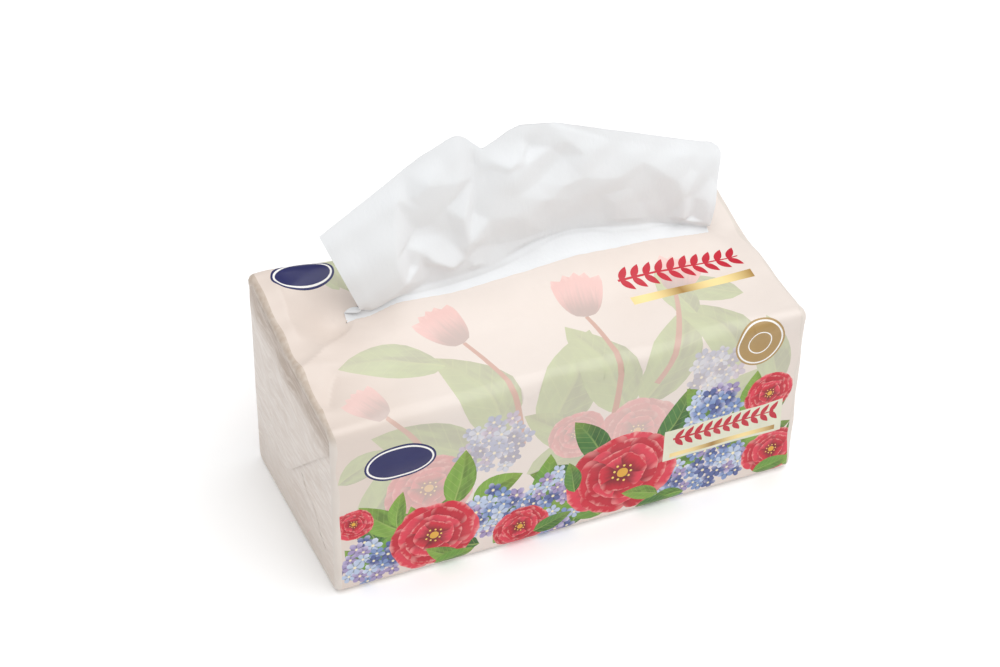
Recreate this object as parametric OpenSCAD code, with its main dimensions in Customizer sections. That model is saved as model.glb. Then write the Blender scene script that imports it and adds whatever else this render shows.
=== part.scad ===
// Soft pack of facial tissue: a film wrap round a stack of folded sheets, with a slit
// along its top and the first sheet drawn half out of it.
// Millimetres, +Z up, X along the pack, front face towards -Y.
// The origin is the middle of the flat base.

/* [Pack] */
// Length of the pack between its end faces
pack_length = 204; // [180:1:230]
// Depth of the pack from front to back
pack_depth = 90; // [80:1:110]
// Height of the top film at the pack's edges
pack_height = 86; // [60:1:110]
// Outward crown at the middle of each side and end face
face_crown = 1; // [0:0.25:2]
// Distance of the left end's back edge to the left of its middle, and of its front edge to the right
left_skew = 1.6; // [0:0.1:2]

/* [Film] */
// Wall of the film
film_wall = 0.4; // [0.3:0.05:0.6]
// Rounding of the long top edges
top_radius = 7; // [6:0.5:12]
// Rounding of the long bottom edges
bottom_radius = 5; // [3:0.5:8]
// Rounding of the edges round each end face
end_radius = 2.2; // [1.4:0.2:4]
// Step from one folded end flap to the next
flap_step = 0.5; // [0.3:0.1:0.8]
// Width over which an end flap rises from the end's edge
flap_ramp = 7; // [4:0.5:12]
// Rise of the slack film at the left end's back corner
left_rise = 14; // [0:0.5:18]
// Rise of the slack film at the right end's back corner
right_rise = 7; // [0:0.5:12]
// Distance behind the pack's middle at which the film at the right end starts to rise
right_start = 5; // [0:0.5:15]

/* [Slit] */
// Length of the slit
slit_length = 160; // [140:1:165]
// Distance of the slit's middle to the right of the pack's middle
slit_x = 7.5; // [0:0.5:12]
// Distance of the closed slit behind the pack's middle
slit_y = 15; // [8:0.5:20]
// Distance of the open slit's front lip in front of the closed slit
front_gap = 1.2; // [0.8:0.1:3]
// Distance of the open slit's back lip behind the closed slit
back_gap = 12; // [9:0.5:14]
// Rise of the film towards the lips of the slit
lip_rise = 1.8; // [0:0.2:5]
// Further rise of the lips to the right of the slit's middle, and their drop to its left
lip_wave = 3; // [0:0.25:4]
// Distance past each end of the slit over which the film rises
lip_fade = 13; // [8:1:18]
// Distance in front of and behind the slit over which the film rises
lip_reach = 28; // [24:1:40]
// Drop of the film round the slit's left end
tip_drop = 5.5; // [0:0.25:6]
// Distance round the slit's left end over which the film drops
tip_reach = 24; // [16:1:32]

/* [Tissue] */
// Clearance between the stack and the film at the sides
stack_clearance = 0.3; // [0.2:0.05:0.6]
// Clearance between the stack and the film at the ends
end_slack = 2.3; // [2.1:0.1:4]
// Head room between the stack and the top film, where the first sheet lies
head_room = 3; // [2.8:0.1:5]
// Rounding of the stack's long top edges
stack_top_radius = 8; // [4:0.5:10]
// Rounding of the stack's upright corners, beyond that of the film round them
corner_slack = 3.5; // [2.5:0.25:5]
// Rounding of the stack's short top edges
stack_end_radius = 0.5; // [0.2:0.1:1]
// Distance of the drawn sheet's sides inside the stack's ends
sheet_margin = 0.8; // [0.5:0.1:3]
// Wall of the drawn sheet
sheet_wall = 0.4; // [0.3:0.05:0.5]
// Length of the drawn sheet that is folded back under itself
fold_back = 44; // [20:1:60]
// Gap between the two layers of the folded sheet
fold_gap = 0.6; // [0.4:0.05:0.8]
// Height of the drawn sheet above the pack's edges
stand_height = 73.5; // [50:0.5:90]
// Distance of the drawn sheet's bend under the front lip
bend_lap = 0.6; // [0.4:0.1:1]
// Distance that the bend takes from front to back in the open slit
bend_reach = 7.5; // [4:0.25:8]
// Height that the bend takes
bend_rise = 7; // [4:0.25:8]
// Distance between the drawn sheet and each end of the slit
slit_margin = 5.5; // [4:0.25:8]
// Distance that the free edge leans to the back
edge_lean = 4; // [0:0.5:8]
// Distance that the standing sheet bows forward between the slit and the free edge
stand_bow = 2; // [0:0.25:4]
// Depth of the largest folds and hollows of the standing sheet
fold_depth = 2.5; // [0:0.25:5]

/* [Hidden] */

// Counts of segments
top_steps = 7;
top_arc_steps = 4;
side_steps = 5;
bottom_arc_steps = 4;
base_steps = 4;
end_arc_steps = 3;
left_steps = 4;
slit_steps = 24;
right_steps = 2;
cap_rings = 6;
sheet_steps = 36;
layer_steps = 4;
turn_steps = 4;
slope_steps = 7;
bend_steps = 4;
stand_steps = 12;
corner_steps = 8;

// Derived sizes
stack_length = pack_length - 2 * (film_wall + end_slack);
stack_depth = pack_depth - 2 * (film_wall + stack_clearance);
stack_top = pack_height - film_wall - head_room;
stack_height = stack_top - film_wall;
slit_left = slit_x - slit_length / 2;
slit_right = slit_x + slit_length / 2;
stack_corner_radius = end_radius + corner_slack;
grip_half = slit_length / 2 - slit_margin;
sheet_half = stack_length / 2 - sheet_margin;
fold_y = -stack_depth / 2 + stack_top_radius;
low_layer = stack_top + sheet_wall / 2;
high_layer = low_layer + sheet_wall + fold_gap;
film_gap = 2 * fold_gap;

// The free edge of the drawn sheet, from left to right: place along the sheet, place
// along the slit's half length, and share of the standing height
free_edge = [
    [-1, -1.11, 0.54],
    [-0.36, -0.42, 0.985],
    [-0.31, -0.365, 0.99],
    [-0.18, -0.245, 0.87],
    [-0.05, -0.1, 0.96],
    [0.05, 0.02, 0.96],
    [0.86, 0.97, 0.58],
    [1, 1.09, 0.48]
];
edge_blur = 0.03;

// The standing sheet's folds and hollows, from left to right: place along the slit's half
// length, share of the standing height, and how far they come forward in shares of fold_depth
folds = [
    [-0.9, 0.7, 0.15], [-0.84, 0.08, 0.95], [-0.72, 0.11, -0.6], [-0.55, 0.6, -0.5],
    [-0.55, 0.44, -1], [-0.52, 0.16, -0.4], [-0.48, 0.26, 0.2], [-0.37, 0.73, 0.3],
    [-0.29, 0.84, -0.65], [-0.28, 0.35, -0.5], [-0.14, 0.25, -0.9], [-0.12, 0.75, 0.9],
    [-0.09, 0.53, 0.3], [0.18, 0.73, -0.55], [0.18, 0.54, 0.4], [0.28, 0.22, -1],
    [0.32, 0.29, -0.8], [0.47, 0.73, 0.1], [0.48, 0.52, 0.4], [0.62, 0.57, 0.3],
    [0.63, 0.31, -0.8], [0.66, 0.18, -0.95], [0.83, 0.27, 0.6], [0.91, 0.54, 0.25],
    [0.99, 0.22, -0.35]
];
// Share of the slit's half length within which a fold is broad
fold_spread = 0.05;
// Shares of the standing height over which the folds start and end
fold_start = 0.12;
fold_end = 0.2;

// How steeply the slack film's rise grows towards the back at each end
left_power = 1.6;
right_power = 1.3;

// How bluntly the slit narrows to its ends
slit_power = 6;
// Share of the way to the slit along which the drawn sheet stays on the stack
slope_rest = 1 / 3;

function mix(a, b, t) = a + (b - a) * t;
function clamp(t) = max(0, min(1, t));
function ease(t) = let (c = clamp(t)) c * c * (3 - 2 * c);
function bump(t) = abs(t) < 1 ? pow(1 - pow(t, 4), 2) : 0;
function hump(t) = abs(t) < 1 ? pow(1 - t * t, 2) : 0;

// The slit's half width at x, as a share of its half width at the middle
function slit_share(x) = max(0, 1 - pow((x - slit_x) / (slit_length / 2), slit_power));

// Rise of the top film over its flat place
function lip_lift(x, y) =
    (lip_rise + lip_wave * sin(360 * (x - slit_x) / slit_length))
    * bump((x - slit_x) / (slit_length / 2 + lip_fade)) * hump((y - slit_y) / lip_reach);
function slack_lift(x, y) =
    let (
        left = left_rise * pow(clamp(y / pack_depth + 0.5), left_power),
        back = clamp((y - right_start) / (pack_depth / 2 - right_start)),
        right = right_rise * pow(back, right_power)
    )
    mix(left, right, ease(x / pack_length + 0.5));
function tip_lift(x, y) = -tip_drop * hump(norm([x - slit_left, y - slit_y]) / tip_reach);
function film_lift(x, y) = lip_lift(x, y) + slack_lift(x, y) + tip_lift(x, y);

// Moves a point of the straight pack to its place on the soft one
function settle(p) =
    let (
        belly = sin(180 * clamp(p.z / pack_height)),
        out_x = face_crown * belly * (1 - pow(clamp(abs(p.y) * 2 / pack_depth), 2)),
        out_y = face_crown * belly * (1 - pow(clamp(abs(p.x) * 2 / pack_length), 2)),
        lift = film_lift(p.x, p.y) * ease(2 * p.z / pack_height - 1),
        skew = left_skew * clamp(-2 * p.x / pack_length) * 2 * p.y / pack_depth
    )
    [p.x * (1 + 2 * out_x / pack_length) - skew, p.y * (1 + 2 * out_y / pack_depth), p.z + lift];

function arc(centre, radius, start, steps) =
    [for (i = [0 : steps]) let (a = start + 90 * i / steps) centre + radius * [cos(a), sin(a)]];
function run(a, b, steps) = [for (i = [1 : steps - 1]) mix(a, b, i / steps)];

// The film's section at x, inset by d: [y, z] from the front lip round to the back lip
function section(x, d) =
    let (
        half = pack_depth / 2 - d,
        high = pack_height - d,
        rt = top_radius - d,
        rb = bottom_radius - d,
        open = slit_share(x),
        front_lip = [slit_y - front_gap * open, high],
        back_lip = [slit_y + back_gap * open, high],
        front_top = arc([-half + rt, high - rt], rt, 90, top_arc_steps),
        front_low = arc([-half + rb, d + rb], rb, 180, bottom_arc_steps),
        back_low = arc([half - rb, d + rb], rb, 270, bottom_arc_steps),
        back_top = arc([half - rt, high - rt], rt, 0, top_arc_steps)
    )
    concat(
        [front_lip], run(front_lip, front_top[0], top_steps), front_top,
        run(front_top[top_arc_steps], front_low[0], side_steps), front_low,
        run(front_low[bottom_arc_steps], back_low[0], base_steps), back_low,
        run(back_low[bottom_arc_steps], back_top[0], side_steps), back_top,
        run(back_top[top_arc_steps], back_lip, top_steps), [back_lip]
    );

// Stations along the film, inset by d: [x, inset of the section]
function end_stations(side, d) =
    [for (i = [0 : end_arc_steps])
        let (a = 90 * i / end_arc_steps, r = end_radius - d)
        [side * (pack_length / 2 - d - r + r * cos(a)), d + r * (1 - sin(a))]];
function reversed(list) = [for (i = [len(list) - 1 : -1 : 0]) list[i]];
function stations(d) =
    let (left = end_stations(-1, d), right = reversed(end_stations(1, d)))
    concat(
        left, run(left[end_arc_steps], [slit_left, d], left_steps),
        [for (i = [0 : slit_steps]) [mix(slit_left, slit_right, i / slit_steps), d]],
        run([slit_right, d], right[0], right_steps), right
    );
function film_row(s) = [for (p = section(s[0], s[1])) settle([s[0], p[0], p[1]])];

// The folded end flaps: the top flap lies on the bottom one, and both lie on the sides
function flap_layer(p) =
    let (across = abs(p[0]) * 2 / pack_depth, up = p[1] * 2 / pack_height - 1)
    abs(up) <= across ? 0 : up > 0 ? 2 : 1;
function cap_row(side, share) =
    let (s = end_stations(side, 0)[0], middle = [0, pack_height / 2])
    [for (p = section(s[0], s[1]))
        let (
            q = mix(middle, p, share),
            rise = flap_step * flap_layer(p) * ease(norm(p - q) / flap_ramp)
        )
        settle([s[0] + side * rise, q[0], q[1]])];
function cap_middle(side, d, layer) =
    settle([side * (pack_length / 2 - d + flap_step * layer), 0, pack_height / 2]);

function quad(a, b, c, d) = [[a, b, c], [a, c, d]];
function flipped(faces) = [for (f = faces) [f[0], f[2], f[1]]];

// One skin of the film: rows of points and, for each row, whether the slit opens it
module film_wrap() {
    plain = stations(0);
    inner = stations(film_wall);
    rows = concat(
        [for (i = [1 : cap_rings]) cap_row(-1, i / (cap_rings + 1))],
        [for (s = plain) film_row(s)],
        [for (i = [cap_rings : -1 : 1]) cap_row(1, i / (cap_rings + 1))],
        [for (s = inner) film_row(s)]
    );
    width = len(rows[0]);
    count = len(plain);
    outer_rows = count + 2 * cap_rings;
    first_slit = cap_rings + end_arc_steps + left_steps;
    last_slit = first_slit + slit_steps;
    inner_shift = outer_rows - cap_rings;
    centres = len(rows) * width;
    points = concat(
        [for (row = rows, p = row) p],
        [cap_middle(-1, 0, 2), cap_middle(1, 0, 2),
         cap_middle(-1, film_wall, 0), cap_middle(1, film_wall, 0)]
    );
    // A row that the slit doesn't open ends on its own first point
    function opened(i) =
        (i > first_slit && i < last_slit)
        || (i > first_slit + inner_shift && i < last_slit + inner_shift);
    function at(i, j) = i * width + (j == width - 1 && !opened(i) ? 0 : j);
    function skin(from, to) =
        [for (i = [from : to - 1], j = [0 : width - 2])
            each quad(at(i, j), at(i + 1, j), at(i + 1, j + 1), at(i, j + 1))];
    function fan(row, centre) = [for (j = [0 : width - 2]) [centre, at(row, j), at(row, j + 1)]];
    function rim(j) =
        [for (i = [first_slit : last_slit - 1])
            each quad(at(i, j), at(i + inner_shift, j), at(i + 1 + inner_shift, j), at(i + 1, j))];
    faces = concat(
        skin(0, outer_rows - 1), fan(0, centres), flipped(fan(outer_rows - 1, centres + 1)),
        flipped(skin(outer_rows, outer_rows + count - 1)),
        flipped(fan(outer_rows, centres + 2)), fan(outer_rows + count - 1, centres + 3),
        rim(0), flipped(rim(width - 1))
    );
    color("antiquewhite") polyhedron(points, faces);
}

// A rectangle from its lowest corner, with its lower and upper corners rounded
module rounded_panel(corner, size, low, high) {
    far = corner + size;
    polygon(concat(
        arc(corner + [low, low], low, 180, corner_steps),
        arc([far.x - low, corner.y + low], low, 270, corner_steps),
        arc(far - [high, high], high, 0, corner_steps),
        arc([corner.x + high, far.y - high], high, 90, corner_steps)
    ));
}

// The folded sheets under the first one, as one block with rounded edges
module tissue_stack() {
    low = [-stack_length / 2, -stack_depth / 2];
    plan = [stack_length, stack_depth];
    side = [stack_depth, stack_height];
    face = [stack_length, stack_height];
    color("whitesmoke") intersection() {
        translate([0, 0, film_wall]) linear_extrude(stack_height)
            rounded_panel(low, plan, stack_corner_radius, stack_corner_radius);
        rotate([90, 0, 90]) translate([0, 0, low.x]) linear_extrude(stack_length)
            rounded_panel([low.y, film_wall], side, bottom_radius, stack_top_radius);
        rotate([90, 0, 0]) translate([0, 0, low.y]) linear_extrude(stack_depth)
            rounded_panel([low.x, film_wall], face, end_radius, stack_end_radius);
    }
}

// The drawn sheet: u runs along the pack from -1 to 1, and each stretch of its path from 0 to 1
function edge_point(u, column) = lookup(u, [for (k = free_edge) [k[0], k[column]]]);
function edge_value(u, column) =
    (edge_point(u - edge_blur, column) + edge_point(u, column) + edge_point(u + edge_blur, column)) / 3;
function grip_x(u) = slit_x + u * grip_half;
function grip_y(u) = slit_y - (front_gap + bend_lap) * slit_share(grip_x(u));
function under_film(x, y) = pack_height + film_lift(x, y) - film_wall - film_gap;

function low_point(u, t) = [u * sheet_half, mix(fold_y + fold_back, fold_y, t), low_layer];
function turn_point(u, t) =
    let (r = (high_layer - low_layer) / 2, a = -90 - 180 * t)
    [u * sheet_half, fold_y + r * cos(a), low_layer + r + r * sin(a)];
function slope_point(u, t) =
    let (
        x = mix(u * sheet_half, grip_x(u), ease(t)),
        y = mix(fold_y, grip_y(u), t)
    )
    [x, y, mix(high_layer, under_film(x, y), ease((t - slope_rest) / (1 - slope_rest)))];
function bend_point(u, t) =
    let (
        start = slope_point(u, 1),
        share = slit_share(grip_x(u))
    )
    start + share * [0, bend_reach * sin(90 * t), bend_rise * (1 - cos(90 * t))];
// How far the standing sheet comes forward at a place given in shares, from the folds around it
function fold_at(along, up) =
    let (
        weights = [for (k = folds) 1 / (pow(norm([along - k[0], up - k[1]]), 4) + pow(fold_spread, 4))],
        heights = [for (k = folds) k[2]],
        ones = [for (k = folds) 1]
    )
    fold_depth * (weights * heights) / (weights * ones);
function stand_point(u, t) =
    let (
        foot = bend_point(u, 1),
        top_x = slit_x + edge_value(u, 1) * slit_length / 2,
        top_z = pack_height + edge_value(u, 2) * stand_height,
        x = mix(foot.x, top_x, t),
        z = mix(foot.z, top_z, t),
        along = (x - slit_x) * 2 / slit_length,
        up = (z - pack_height) / stand_height,
        fold = fold_at(along, up) * ease(t / fold_start) * ease((1 - t) / fold_end)
    )
    [x, foot.y + edge_lean * t - stand_bow * sin(180 * t) - fold, z];

path = concat(
    [for (i = [0 : layer_steps]) [0, i / layer_steps]],
    [for (i = [1 : turn_steps]) [1, i / turn_steps]],
    [for (i = [1 : slope_steps]) [2, i / slope_steps]],
    [for (i = [1 : bend_steps]) [3, i / bend_steps]],
    [for (i = [1 : stand_steps]) [4, i / stand_steps]]
);
function sheet_point(u, s) =
    s[0] == 0 ? low_point(u, s[1])
    : s[0] == 1 ? turn_point(u, s[1])
    : s[0] == 2 ? slope_point(u, s[1])
    : s[0] == 3 ? bend_point(u, s[1])
    : stand_point(u, s[1]);

// The first sheet: one layer folded back on the stack, one under the film, bent up
// through the slit to a free edge above folds and hollows
module pulled_tissue() {
    last = len(path) - 1;
    grid = [for (s = path) [for (i = [0 : sheet_steps]) sheet_point(2 * i / sheet_steps - 1, s)]];
    // The sheet's unit normal at a grid point, from its neighbours
    function across(k, i) =
        grid[k][min(i + 1, sheet_steps)] - grid[k][max(i - 1, 0)];
    function along(k, i) = grid[min(k + 1, last)][i] - grid[max(k - 1, 0)][i];
    function unit(v) = v / norm(v);
    function wall(k, i) = unit(cross(across(k, i), along(k, i))) * sheet_wall / 2;
    width = sheet_steps + 1;
    size = width * (last + 1);
    points = concat(
        [for (k = [0 : last], i = [0 : sheet_steps]) grid[k][i] + wall(k, i)],
        [for (k = [0 : last], i = [0 : sheet_steps]) grid[k][i] - wall(k, i)]
    );
    function at(k, i) = k * width + i;
    face = [for (k = [0 : last - 1], i = [0 : sheet_steps - 1])
        each quad(at(k, i), at(k + 1, i), at(k + 1, i + 1), at(k, i + 1))];
    back = [for (f = flipped(face)) f + [size, size, size]];
    function band(a, b) = quad(a, b, b + size, a + size);
    edges = concat(
        [for (k = [0 : last - 1]) each band(at(k + 1, 0), at(k, 0))],
        [for (k = [0 : last - 1]) each band(at(k, sheet_steps), at(k + 1, sheet_steps))],
        [for (i = [0 : sheet_steps - 1]) each band(at(0, i), at(0, i + 1))],
        [for (i = [0 : sheet_steps - 1]) each band(at(last, i + 1), at(last, i))]
    );
    color("white") polyhedron(points, concat(face, back, edges));
}

film_wrap();
tissue_stack();
pulled_tissue();
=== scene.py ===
"""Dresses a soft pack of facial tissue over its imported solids.

Lengths are in millimetres until a mesh is made, and in metres from there on.
"""

import logging
import math
import random
from collections.abc import Callable, Sequence
from dataclasses import dataclass, field
from enum import IntEnum

import bpy
import numpy as np
from mathutils import Matrix, Vector
from mathutils.geometry import delaunay_2d_cdt
from mathutils.kdtree import KDTree


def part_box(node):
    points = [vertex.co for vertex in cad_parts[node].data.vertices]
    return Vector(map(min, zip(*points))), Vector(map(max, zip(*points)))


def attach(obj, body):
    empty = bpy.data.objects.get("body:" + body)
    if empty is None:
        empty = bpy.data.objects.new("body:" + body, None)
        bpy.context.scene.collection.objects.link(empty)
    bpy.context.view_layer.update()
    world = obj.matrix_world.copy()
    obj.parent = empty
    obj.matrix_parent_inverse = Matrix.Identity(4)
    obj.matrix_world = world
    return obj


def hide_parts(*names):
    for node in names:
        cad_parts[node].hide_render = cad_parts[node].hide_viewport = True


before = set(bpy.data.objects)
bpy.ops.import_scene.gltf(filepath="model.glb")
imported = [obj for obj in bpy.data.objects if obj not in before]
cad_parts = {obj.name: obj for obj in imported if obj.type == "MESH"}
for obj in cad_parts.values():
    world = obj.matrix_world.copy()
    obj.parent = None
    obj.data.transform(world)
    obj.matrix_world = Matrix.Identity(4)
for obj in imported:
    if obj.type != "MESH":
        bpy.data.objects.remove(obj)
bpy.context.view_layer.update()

MM = 0.001
TINY = 1e-9
SNAP = 1e-5
LOG = logging.getLogger("tissue_pack")

Array = np.ndarray
Point = tuple[float, float]
Colour = tuple[float, float, float]
Spot = tuple[float, float, float]


def ease(t: Array | float) -> Array:
    """Goes smoothly from 0 to 1 as t does."""
    c = np.clip(t, 0, 1)
    return c * c * (3 - 2 * c)


def hump(t: Array | float) -> Array:
    """Rises smoothly from 0 at -1 to 1 at 0, and falls again."""
    return np.clip(1 - np.square(t), 0, None) ** 2


def mesa(t: Array | float) -> Array:
    """A hump with a broad top."""
    return np.clip(1 - np.square(np.square(t)), 0, None) ** 2


def srgb(red: float, green: float, blue: float) -> Colour:
    """A screen colour of 0 to 255, in linear light."""
    return tuple(((c / 255 + 0.055) / 1.055) ** 2.4 for c in (red, green, blue))


@dataclass(frozen=True)
class Ripple:
    """Random smooth relief, a sum of plane waves.

    height is its usual height and grain its usual wavelength along each axis.
    """

    height: float
    grain: Point
    seed: int
    waves: int = 16
    paces: Point = (0.6, 1.5)

    def over(self, a: Array, b: Array) -> Array:
        """The relief at places on the sheet.

        Args:
            a: the places along its first axis.
            b: the places along its second axis.

        Returns:
            The height at each place.
        """
        dice = np.random.default_rng(self.seed)
        total = np.zeros_like(a)
        for _ in range(self.waves):
            turn, phase = dice.uniform(0, 2 * np.pi, 2)
            pace = 2 * np.pi * dice.uniform(*self.paces)
            run = np.cos(turn) * a / self.grain[0] + np.sin(turn) * b / self.grain[1]
            total += np.sin(pace * run + phase)
        return self.height * total * math.sqrt(2 / self.waves)


@dataclass(frozen=True)
class Dent:
    """A soft round swelling, or a hollow where its height is negative.

    With a core it is flat out to that share of its radii, and ends at the radii.
    """

    centre: Point
    radii: Point
    height: float
    turn: float = 0.0
    core: float = 0.0

    def over(self, a: Array, b: Array) -> Array:
        """The relief at places on the sheet.

        Args:
            a: the places along its first axis.
            b: the places along its second axis.

        Returns:
            The height at each place.
        """
        angle = math.radians(self.turn)
        da, db = a - self.centre[0], b - self.centre[1]
        p = (math.cos(angle) * da + math.sin(angle) * db) / self.radii[0]
        q = (math.cos(angle) * db - math.sin(angle) * da) / self.radii[1]
        if self.core:
            return self.height * (1 - ease((np.hypot(p, q) - self.core) / (1 - self.core)))
        return self.height * np.exp(-p * p - q * q)


@dataclass(frozen=True)
class Crease:
    """A ridge, or a valley where its height is negative, fading at both ends.

    widths are how far it falls away to the left and to the right of its run, and bow is how
    far its middle lies to the left of the straight line.
    """

    start: Point
    end: Point
    height: float
    widths: Point
    fade: float = 0.3
    edge: float = 0.15
    bow: float = 0.0

    def over(self, a: Array, b: Array) -> Array:
        """The relief at places on the sheet.

        Args:
            a: the places along its first axis.
            b: the places along its second axis.

        Returns:
            The height at each place.
        """
        run = np.subtract(self.end, self.start)
        length = float(np.hypot(*run))
        da, db = a - self.start[0], b - self.start[1]
        along = np.clip((da * run[0] + db * run[1]) / length**2, 0, 1)
        off = (db * run[0] - da * run[1]) / length - self.bow * 4 * along * (1 - along)
        reach = np.abs(off) / np.where(off > 0, self.widths[0], self.widths[1])
        fall = np.exp(self.edge - np.sqrt(reach * reach + self.edge * self.edge))
        return self.height * fall * ease(along / self.fade) * ease((1 - along) / self.fade)


@dataclass(frozen=True)
class Crumple:
    """Relief that runs straight from knot to knot, as in creased paper.

    Each knot is a place on the sheet and its height.
    """

    knots: tuple[Spot, ...]

    def over(self, a: Array, b: Array) -> Array:
        """The relief at places on the sheet.

        Args:
            a: the places along its first axis.
            b: the places along its second axis.

        Returns:
            The height at each place.
        """
        flat = [Vector(knot[:2]) for knot in self.knots]
        points, _, faces, sources, _, _ = delaunay_2d_cdt(flat, [], [], 0, SNAP, True)
        total = np.zeros_like(a)
        for face in faces:
            (x0, y0), (x1, y1), (x2, y2) = (points[i] for i in face)
            h0, h1, h2 = (self.knots[sources[i][0]][2] for i in face)
            area = (x1 - x0) * (y2 - y0) - (x2 - x0) * (y1 - y0)
            p = ((a - x0) * (y2 - y0) - (x2 - x0) * (b - y0)) / area
            q = ((x1 - x0) * (b - y0) - (a - x0) * (y1 - y0)) / area
            inside = (p >= 0) & (q >= 0) & (p + q <= 1)
            total[inside] = (h0 + p * (h1 - h0) + q * (h2 - h0))[inside]
        return total


def softened(grid: Array, times: int) -> Array:
    """Averages a grid of heights with their neighbours.

    Args:
        grid: the heights.
        times: how often they are averaged.

    Returns:
        The softened heights.
    """
    for _ in range(times):
        for axis in (0, 1):
            wide = np.pad(grid, [(1, 1) if k == axis else (0, 0) for k in (0, 1)], "edge")
            first, middle, last = (np.take(wide, np.arange(grid.shape[axis]) + k, axis) for k in range(3))
            grid = (first + 2 * middle + last) / 4
    return grid


Relief = Ripple | Dent | Crease | Crumple


def relief_of(features: Sequence[Relief], a: Array, b: Array) -> Array:
    """The sum of several reliefs at places a, b."""
    return sum((feature.over(a, b) for feature in features), np.zeros_like(a))


def cut(rings: Sequence[Array], grid: Sequence[Point], near: float) -> tuple[Array, list, list]:
    """Cuts a plane into triangles along closed rings.

    Args:
        rings: the rings, the outermost one first.
        grid: loose points between them.
        near: a loose point this near to a ring is left out.

    Returns:
        The points, the triangles, and for each triangle the numbers of the rings round it.
    """
    spots = np.concatenate(rings)
    tree = KDTree(len(spots))
    for index, (a, b) in enumerate(spots):
        tree.insert((a, b, 0.0), index)
    tree.balance()
    loose = [p for p in grid if tree.find((*p, 0.0))[2] > near]
    starts = np.cumsum([0] + [len(ring) for ring in rings])
    faces = [list(range(a, b)) for a, b in zip(starts, starts[1:])]
    coords = [Vector(p) for p in (*spots.tolist(), *loose)]
    points, _, triangles, _, _, parents = delaunay_2d_cdt(coords, [], faces, 1, SNAP, True)
    return np.array([tuple(p) for p in points]), triangles, parents


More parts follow.
